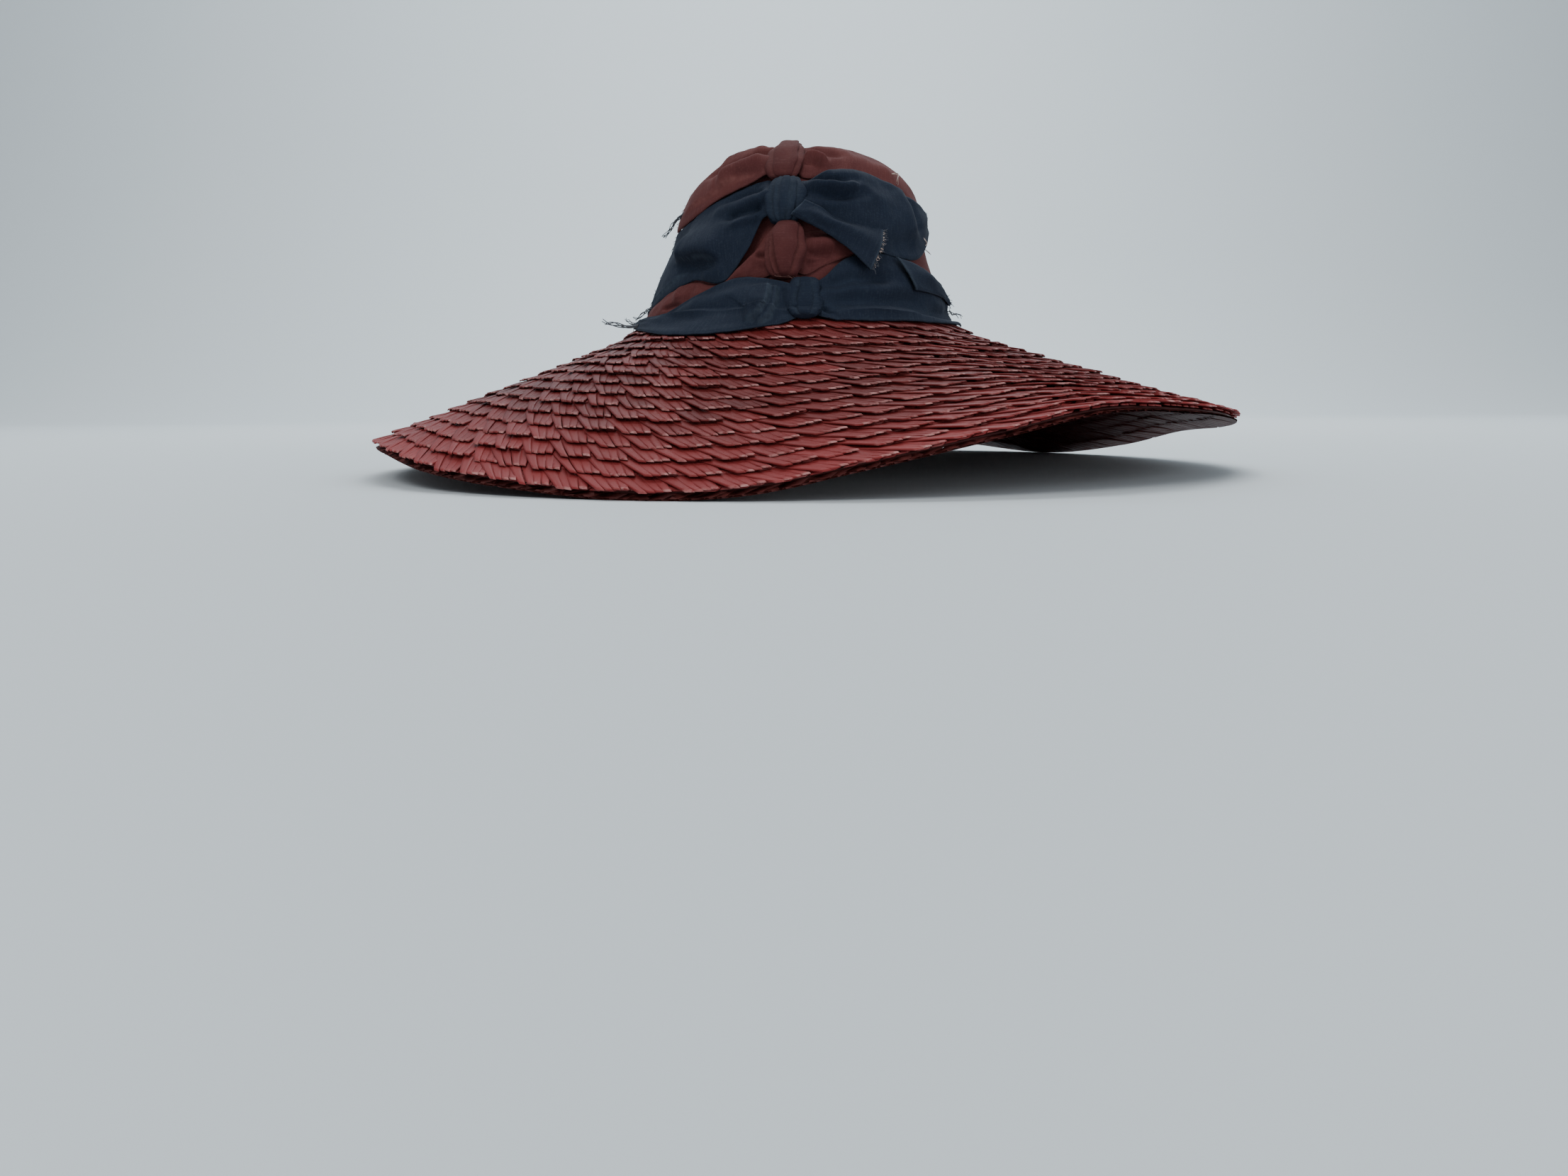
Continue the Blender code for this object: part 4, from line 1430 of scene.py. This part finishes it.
WINGS = (
    Wing("middle_bow_left", Finish.RUST, (
        (-8.5, 0.215, -8.5, 0.345, 0.70),
        (-13.5, 0.185, -13.5, 0.360, 0.55),
        (-22, 0.155, -20, 0.265, 0.65),
        (-31, 0.140, -29, 0.175, 0.05),
        (-44, 0.062, -43, 0.205, 0.30),
        (-58, 0.012, -56, 0.170, 0.25),
        (-76, 0.010, -73, 0.095, 0.10),
    ), 0.0, 0.0, 1.0, 2.0, (
        Fold(((-17, 0.262), (-13, 0.256), (-10, 0.262)), 0.0012, -0.0024),
        Fold(((-18, 0.225), (-13, 0.215), (-9, 0.225)), 0.0020, -0.0012),
        Fold(((-55, 0.076), (-50, 0.084), (-46, 0.088)), 0.0010, -0.0034),
        Fold(((-49, 0.17), (-48, 0.13), (-47, 0.10)), 0.0030, 0.0014),
        Fold(((-41, 0.17), (-42, 0.12), (-44, 0.09)), 0.0022, -0.0012),
    ), size=(0.090, 0.022)),
    Wing("middle_bow_right", Finish.RUST, (
        (-3.5, 0.220, -3.5, 0.340, 0.70),
        (1.5, 0.195, 1.5, 0.360, 0.55),
        (9, 0.235, 10, 0.365, 0.70),
        (20, 0.275, 21, 0.340, 0.10),
    ), 0.0, 0.0, 1.0, 2.0, (
        Fold(((0.5, 0.268), (5, 0.262), (12, 0.275)), 0.0016, -0.0026),
        Fold(((0.5, 0.232), (4, 0.236), (9, 0.250)), 0.0012, -0.0018),
        Fold(((1, 0.310), (6, 0.306), (14, 0.310)), 0.0030, 0.0018),
        Fold(((1, 0.335), (7, 0.336)), 0.0014, -0.0014),
    ), size=(0.036, 0.020), cells=(72, 48)),
    Wing("lower_bow_left", Finish.NAVY, (
        (0, -0.010, 0, 0.130, 0.25),
        (-5, -0.045, -5, 0.150, 0.35),
        (-14, -0.072, -14, 0.172, 0.60),
        (-26, -0.105, -24, 0.172, 0.55),
        (-40, -0.100, -38, 0.110, 0.40),
        (-58, -0.054, -54, 0.022, 0.12),
        (-74, -0.018, -71, 0.030, 0.00),
    ), 0.0, 1.7, 0.7, 1.5, (
        Fold(((-16.5, -0.052), (-13.2, -0.046), (-11.0, -0.026), (-9.8, 0.014), (-9.3, 0.078), (-9.8, 0.150)),
             0.00040, 0.0034, LEDGE, spread=0.010, taper=0.12, highlight_rim=0.0008),
        Fold(((-13.0, -0.058), (-10.4, -0.052), (-8.6, -0.032), (-7.5, 0.008), (-7.1, 0.066), (-7.4, 0.140)),
             0.00040, 0.0030, LEDGE, spread=0.0045, taper=0.12, highlight_rim=0.0008),
        Fold(((-4.5, 0.020), (-6, 0.070), (-6, 0.130)), 0.0020, -0.0012),
        Fold(((-40, 0.055), (-28, 0.085), (-17, 0.095)), 0.0050, 0.0018),
        Fold(((-44, -0.030), (-30, -0.020), (-18, 0.005)), 0.0040, -0.0016),
    ), size=(0.115, 0.034), cells=(190, 84)),
    Wing("lower_bow_right", Finish.NAVY, (
        (3.5, 0.010, 3.5, 0.150, 0.20),
        (8, -0.020, 8, 0.180, 0.35),
        (18, -0.032, 17, 0.258, 0.60),
        (34, -0.028, 34, 0.284, 0.50),
        (52, -0.022, 50, 0.258, 0.40),
        (68, -0.018, 66, 0.195, 0.10),
        (80, -0.015, 80, 0.175, 0.00),
    ), 0.0, 1.0, 0.1, 2.0, (
        Fold(((6, 0.130), (18, 0.172), (36, 0.180)), 0.0036, -0.0042),
        Fold(((6, 0.075), (24, 0.078), (50, 0.095)), 0.0050, -0.0040),
        Fold(((7, 0.030), (22, 0.018), (46, 0.024)), 0.0040, 0.0028),
        Fold(((7, 0.050), (8.5, 0.010), (11, -0.018)), 0.0013, -0.0022),
        Fold(((48, 0.050), (62, 0.040), (78, 0.070)), 0.0045, -0.0026),
        Fold(((72, 0.130), (74, 0.080), (75, 0.020)), 0.0030, 0.0012),
    ), size=(0.112, 0.033)),
    Wing("upper_bow_left", Finish.NAVY, (
        (-10, 0.420, -10, 0.548, 0.15),
        (-15.8, 0.395, -15.8, 0.570, 0.35),
        (-20, 0.290, -23, 0.562, 0.60),
        (-28, 0.165, -34, 0.530, 0.75),
        (-42, 0.185, -46, 0.492, 0.55),
        (-58, 0.140, -60, 0.445, 0.25),
        (-76, 0.070, -80, 0.424, 0.05),
    ), 1.8, 0.0, 0.15, 2.5, (
        Fold(((-56, 0.262), (-50, 0.266), (-40, 0.262), (-28, 0.244)), 0.0012, 0.0058, LEDGE,
             spread=0.014, highlight_rim=0.0001),
        Fold(((-54, 0.245), (-42, 0.240), (-30, 0.226)), 0.0026, -0.0024),
        Fold(((-38, 0.205), (-32, 0.200), (-27, 0.215)), 0.0040, 0.0022),
        Fold(((-15, 0.425), (-19, 0.400), (-28, 0.362)), 0.0022, 0.0020),
        Fold(((-15, 0.452), (-21, 0.432), (-32, 0.405)), 0.0020, -0.0034),
        Fold(((-15, 0.480), (-24, 0.470), (-40, 0.440)), 0.0035, 0.0020),
        Fold(((-15, 0.510), (-24, 0.505), (-36, 0.485)), 0.0018, -0.0018),
        Fold(((-76, 0.100), (-61, 0.160), (-52, 0.200), (-45, 0.232)), 0.00035, 0.0012, LEDGE),
    ), size=(0.098, 0.042)),
    Wing("upper_bow_right", Finish.NAVY, (
        (-4, 0.430, -4, 0.535, 0.10),
        (1.0, 0.400, 1.0, 0.555, 0.40),
        (12, 0.385, 12, 0.590, 0.85),
        (26, 0.300, 26, 0.605, 0.65),
        (42, 0.268, 42, 0.570, 0.40),
        (54, 0.285, 60, 0.530, 0.20),
        (74, 0.400, 80, 0.505, 0.00),
    ), 1.2, 1.2, 0.75, 1.5, (
        Fold(((0, 0.558), (8, 0.541), (15, 0.538), (22, 0.545)), 0.0024, -0.0052, taper=0.4),
        Fold(((0, 0.490), (9, 0.482), (17, 0.486), (26, 0.496)), 0.0025, -0.0070, taper=0.4),
        Fold(((0, 0.524), (10, 0.513), (24, 0.518)), 0.0040, 0.0030),
        Fold(((5, 0.576), (16, 0.574), (30, 0.568)), 0.0040, 0.0018),
        Fold(((8, 0.450), (20, 0.445), (36, 0.430)), 0.0060, -0.0026),
        Fold(((53, 0.545), (57, 0.470), (58, 0.380)), 0.0040, -0.0022),
        Fold(((44, 0.560), (48, 0.470), (50, 0.340)), 0.0060, 0.0020),
        Fold(((36, 0.300), (44, 0.330), (52, 0.330)), 0.0040, -0.0022),
    ), size=(0.096, 0.036)),
    Wing("top_bow_left", Finish.RUST, (
        (-12, 0.615, -14, 0.770, 0.25),
        (-19.5, 0.575, -22, 0.800, 0.40),
        (-26, 0.546, -34, 0.830, 0.35),
        (-40, 0.504, -48, 0.830, 0.25),
        (-56, 0.448, -64, 0.780, 0.15),
        (-74, 0.420, -82, 0.680, 0.05),
    ), 1.0, 0.0, 0.4, 2.0, (
        Fold(((-17, 0.700), (-29, 0.660), (-40, 0.638), (-52, 0.620)), 0.0024, -0.0062, taper=0.35),
        Fold(((-18, 0.645), (-28, 0.614), (-44, 0.577)), 0.0052, 0.0038),
        Fold(((-20, 0.740), (-34, 0.720), (-54, 0.690)), 0.0045, 0.0022),
        Fold(((-19, 0.604), (-25, 0.585), (-34, 0.575)), 0.0018, -0.0018),
        Fold(((-66, 0.474), (-47, 0.522), (-36, 0.556), (-20, 0.590)), 0.00035, 0.0014, LEDGE),
    ), size=(0.082, 0.044)),
    Wing("top_bow_right", Finish.RUST, (
        (-6, 0.620, -4, 0.770, 0.25),
        (0.5, 0.575, 3, 0.800, 0.40),
        (14, 0.585, 22, 0.830, 0.35),
        (30, 0.590, 40, 0.830, 0.25),
        (52, 0.530, 62, 0.770, 0.20),
        (82, 0.490, 86, 0.640, 0.10),
    ), 0.0, 0.0, 1.0, 2.0, (
        Fold(((-1, 0.658), (4, 0.668), (12, 0.640)), 0.0018, 0.0032),
        Fold(((-1, 0.636), (4, 0.640), (9, 0.620)), 0.0014, -0.0024),
        Fold(((0, 0.694), (8, 0.700), (22, 0.680)), 0.0020, -0.0018),
        Fold(((0, 0.730), (14, 0.730), (30, 0.700)), 0.0045, 0.0009),
        Fold(((18, 0.650), (34, 0.650), (52, 0.610)), 0.0050, 0.0016),
    ), size=(0.086, 0.036)),
    Wing("upper_bow_tail", Finish.NAVY, (
        (-4.5, 0.396, 0.5, 0.450, 0.10),
        (2, 0.358, 6, 0.428, 0.30),
        (10, 0.308, 13, 0.402, 0.40),
        (17, 0.256, 25, 0.418, 0.30),
        (23.5, 0.192, 36.2, 0.444, 0.10),
    ), 3.7, 3.9, 0.80, 0.0, (
        Fold(((2, 0.405), (12, 0.350), (26, 0.270)), 0.0060, 0.0012),
        Fold(((14, 0.400), (22, 0.372), (32, 0.350)), 0.0040, -0.0010),
    ), size=(0.056, 0.026), cells=(84, 48), free_start=True, sink=0.0052,
        rests_on=("upper_bow_right_crepe",)),
    Wing("lower_bow_tail", Finish.NAVY, (
        (42.6, 0.130, 36.8, 0.262, 0.10),
        (53, 0.128, 49, 0.242, 0.15),
        (64, 0.120, 61, 0.200, 0.10),
        (74, 0.100, 72, 0.170, 0.00),
    ), 2.2, 2.0, 0.5, 0.0, (
        Fold(((46, 0.215), (56, 0.190), (68, 0.150)), 0.0040, 0.0012),
    ), size=(0.044, 0.016), cells=(60, 36), free_start=True, rests_on=("lower_bow_right_crepe",)),
)

# The rust knots use the darker copy of the rust crepe, a painted shade.
KNOTS = (
    Knot("lower_bow_knot", Finish.NAVY, 1.2, 5.8, -0.022, 0.176, 0.62,
         (Crease(122, 116, 12, 0.0008), Crease(56, 62, 12, 0.0006)), ribs=26),
    Knot("middle_bow_knot", Finish.RUST_WRAP_PAINTED_SHADE, -6.0, 7.2, 0.176, 0.388, 1.05,
         (Crease(112, 150, 8, 0.0034), Crease(138, 170, 7, 0.0026), Crease(56, 30, 10, 0.0012)),
         end=0.46, corner=0.84),
    Knot("upper_bow_knot", Finish.NAVY, -7.4, 7.9, 0.386, 0.562, 0.85,
         (Crease(128, 136, 9, 0.0014), Crease(106, 110, 8, 0.0010), Crease(80, 70, 9, 0.0012),
          Crease(52, 42, 9, 0.0009))),
    Knot("top_bow_knot", Finish.RUST_WRAP_PAINTED_SHADE, -9.8, 9.4, 0.566, 0.800, 0.75,
         (Crease(34, 30, 14, 0.0007), Crease(132, 146, 14, 0.0009), Crease(84, 78, 16, 0.0004))),
)


NAVY, RUST, PALE = Finish.NAVY_THREAD, Finish.RUST_THREAD, Finish.PALE_THREAD

FRINGES = (
    (NAVY, "upper_bow_tail", 0.02, 0.98, 110, 0.0026),
    (PALE, "upper_bow_tail", 0.05, 0.95, 60, 0.0020),
    (NAVY, "lower_bow_tail", 0.02, 0.98, 50, 0.0030),
    (NAVY, "upper_bow_right", 0.05, 0.95, 50, 0.0020),
    (NAVY, "lower_bow_right", 0.02, 0.98, 80, 0.0034),
    (NAVY, "upper_bow_left", 0.02, 0.98, 80, 0.0030),
    (RUST, "top_bow_left", 0.02, 0.98, 70, 0.0024),
    (NAVY, "lower_bow_left", 0.02, 0.98, 50, 0.0034),
)

STRANDS = (
    (NAVY, 0.00030, 5, ((-68, 0.500, 0.002), (-74, 0.478, 0.003), (-79, 0.448, 0.005), (-82, 0.405, 0.008))),
    (NAVY, 0.00028, 4, ((-70, 0.105, 0.002), (-77, 0.090, 0.003), (-83, 0.060, 0.005), (-86, 0.040, 0.007))),
    (NAVY, 0.00028, 4, ((-74, 0.040, 0.002), (-80, 0.020, 0.003), (-85, 0.005, 0.005), (-88, -0.010, 0.008))),
    (NAVY, 0.00038, 4, ((-62, -0.030, 0.002), (-69, -0.046, 0.004), (-75, -0.070, 0.008),
                       (-79, -0.098, 0.012))),
    (NAVY, 0.00026, 4, ((74, 0.080, 0.002), (80, 0.070, 0.003), (85, 0.060, 0.005), (87, 0.045, 0.007))),
    (PALE, 0.00022, 2, ((60, 0.385, 0.003), (63, 0.350, 0.004), (62, 0.335, 0.003), (67, 0.310, 0.003))),
    (PALE, 0.00020, 2, ((48, 0.625, 0.003), (50, 0.610, 0.005), (49, 0.590, 0.004), (51, 0.580, 0.003))),
    (RUST, 0.00020, 3, ((-10, 0.200, 0.002), (-9, 0.180, 0.004), (-4, 0.176, 0.004), (-2, 0.160, 0.003))),
)

MIDDLE = (0.0, 0.0, 0.08)


@dataclass(frozen=True)
class Light:
    """A square soft light that faces a point, with its side, its watts and its colour."""

    name: str
    place: Vector
    aim: Vector
    size: float
    watts: float
    colour: Vector

    def build(self) -> None:
        """Makes the light."""
        data = bpy.data.lights.new(self.name, "AREA")
        data.shape = "SQUARE"
        data.size = self.size
        data.energy = self.watts
        data.color = self.colour
        thing = bpy.data.objects.new(self.name, data)
        bpy.context.scene.collection.objects.link(thing)
        thing.matrix_world = Matrix.Translation(self.place) @ self.facing().to_4x4()

    def facing(self) -> Matrix:
        """The turn that points -Z at what the light faces.

        Returns:
            The turn, as three rows.
        """
        z = -unit(np.array(self.aim) - np.array(self.place))
        x = unit(np.cross([0.0, 0.0, 1.0], z))
        y = np.cross(z, x)
        return Matrix([[x[i], y[i], z[i]] for i in range(3)])


LIGHTS = (
    Light("key", (-0.7, -1.3, 1.7), MIDDLE, 1.1, 18.5, (1.0, 0.985, 0.97)),
    Light("fill", (1.6, -1.4, 0.9), MIDDLE, 1.6, 10.0, (0.93, 0.97, 1.0)),
    Light("back", (0.3, 1.3, 1.6), MIDDLE, 1.4, 8.0, (0.95, 0.98, 1.0)),
    Light("backdrop", (0.0, 0.9, 2.6), (0.0, 2.8, 0.7), 1.6, 72.0, (0.96, 0.99, 1.0)),
    Light("low", (1.3, -0.9, 0.16), (0.16, -0.08, 0.06), 0.5, 2.8, (0.97, 0.98, 1.0)),
)


@dataclass(frozen=True)
class Studio:
    """The camera, the pale floor and backdrop, and the soft lights."""

    camera_place: Vector = (-0.008, -0.620, 0.0350)
    pitch_down: float = 9.35
    roll: float = -0.4
    focal: float = 1600.0
    image_width: int = 2212
    sensor: float = 36.0
    nearest: float = 0.01
    floor_front: float = -4.0
    floor_back: float = 1.6
    floor_half: float = 5.0
    bend_radius: float = 1.2
    bend_steps: int = 17
    wall_top: float = 5.0
    floor_colour: Colour = (0.69, 0.755, 0.795, 1.0)
    floor_roughness: float = 0.9
    room_colour: Colour = (0.78, 0.84, 0.88, 1.0)
    room_light: float = 0.40

    def camera(self) -> None:
        """Makes the camera: lens = sensor f / w millimetres for a focal length of f pixels and a picture w
        wide."""
        data = bpy.data.cameras.new("camera")
        data.sensor_width = self.sensor
        data.lens = self.sensor * self.focal / self.image_width
        data.clip_start = self.nearest
        thing = bpy.data.objects.new("camera", data)
        bpy.context.scene.collection.objects.link(thing)
        tilt = Matrix.Rotation(math.radians(90 - self.pitch_down), 4, "X")
        tilt = tilt @ Matrix.Rotation(math.radians(self.roll), 4, "Z")
        thing.matrix_world = Matrix.Translation(self.camera_place) @ tilt
        bpy.context.scene.camera = thing

    def floor(self) -> None:
        """Makes the floor, which curves up into a backdrop far behind the hat: a profile along Y carried
        across X, whose bend is a quarter circle."""
        turn = np.linspace(0, math.pi / 2, self.bend_steps)
        bend = self.floor_back + self.bend_radius * np.sin(turn)
        ys = np.concatenate([[self.floor_front, 0.0], bend, [self.floor_back + self.bend_radius]])
        zs = np.concatenate([[0.0, 0.0], self.bend_radius * (1 - np.cos(turn)), [self.wall_top]])
        xs = np.linspace(-self.floor_half, self.floor_half, 3)
        points = np.stack(np.broadcast_arrays(xs[None, :], ys[:, None], zs[:, None]), -1)
        mesh = bpy.data.meshes.new("floor")
        mesh.from_pydata(points.reshape(-1, 3).tolist(), [], grid_quads(len(ys), len(xs)).tolist())
        mesh.polygons.foreach_set("use_smooth", np.ones(len(mesh.polygons), bool))
        plain = Nodes("pale_floor")
        plain.finish(Base_Color=self.floor_colour, Roughness=self.floor_roughness)
        mesh.materials.append(plain.material)
        thing = bpy.data.objects.new("floor", mesh)
        bpy.context.scene.collection.objects.link(thing)

    def room(self) -> None:
        """Makes the even light of the room."""
        world = bpy.data.worlds.new("room")
        bpy.context.scene.world = world
        world.use_nodes = True
        shade = world.node_tree.nodes["Background"]
        shade.inputs["Color"].default_value = self.room_colour
        shade.inputs["Strength"].default_value = self.room_light

    def build(self) -> None:
        """Makes the whole studio."""
        self.camera()
        self.floor()
        for light in LIGHTS:
            light.build()
        self.room()


def main() -> None:
    """Builds the studio and the hat in order, and reports each piece."""
    logging.basicConfig(level=logging.INFO, format="%(name)s %(message)s")
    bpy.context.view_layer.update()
    Studio().build()
    StrawBrim().build()
    CrownCloth().build()
    for wing in WINGS:
        wing.build()
    for knot in KNOTS:
        knot.build()
    threads = Threads({wing.node: wing for wing in WINGS})
    for seed, (finish, wing, low, high, count, length) in enumerate(FRINGES):
        threads.fringe(finish, wing, low, high, count, length, seed)
    for seed, (finish, radius, count, points) in enumerate(STRANDS):
        threads.strand(finish, points, radius, count, seed)
    threads.build()


if __name__ == "__main__":
    main()
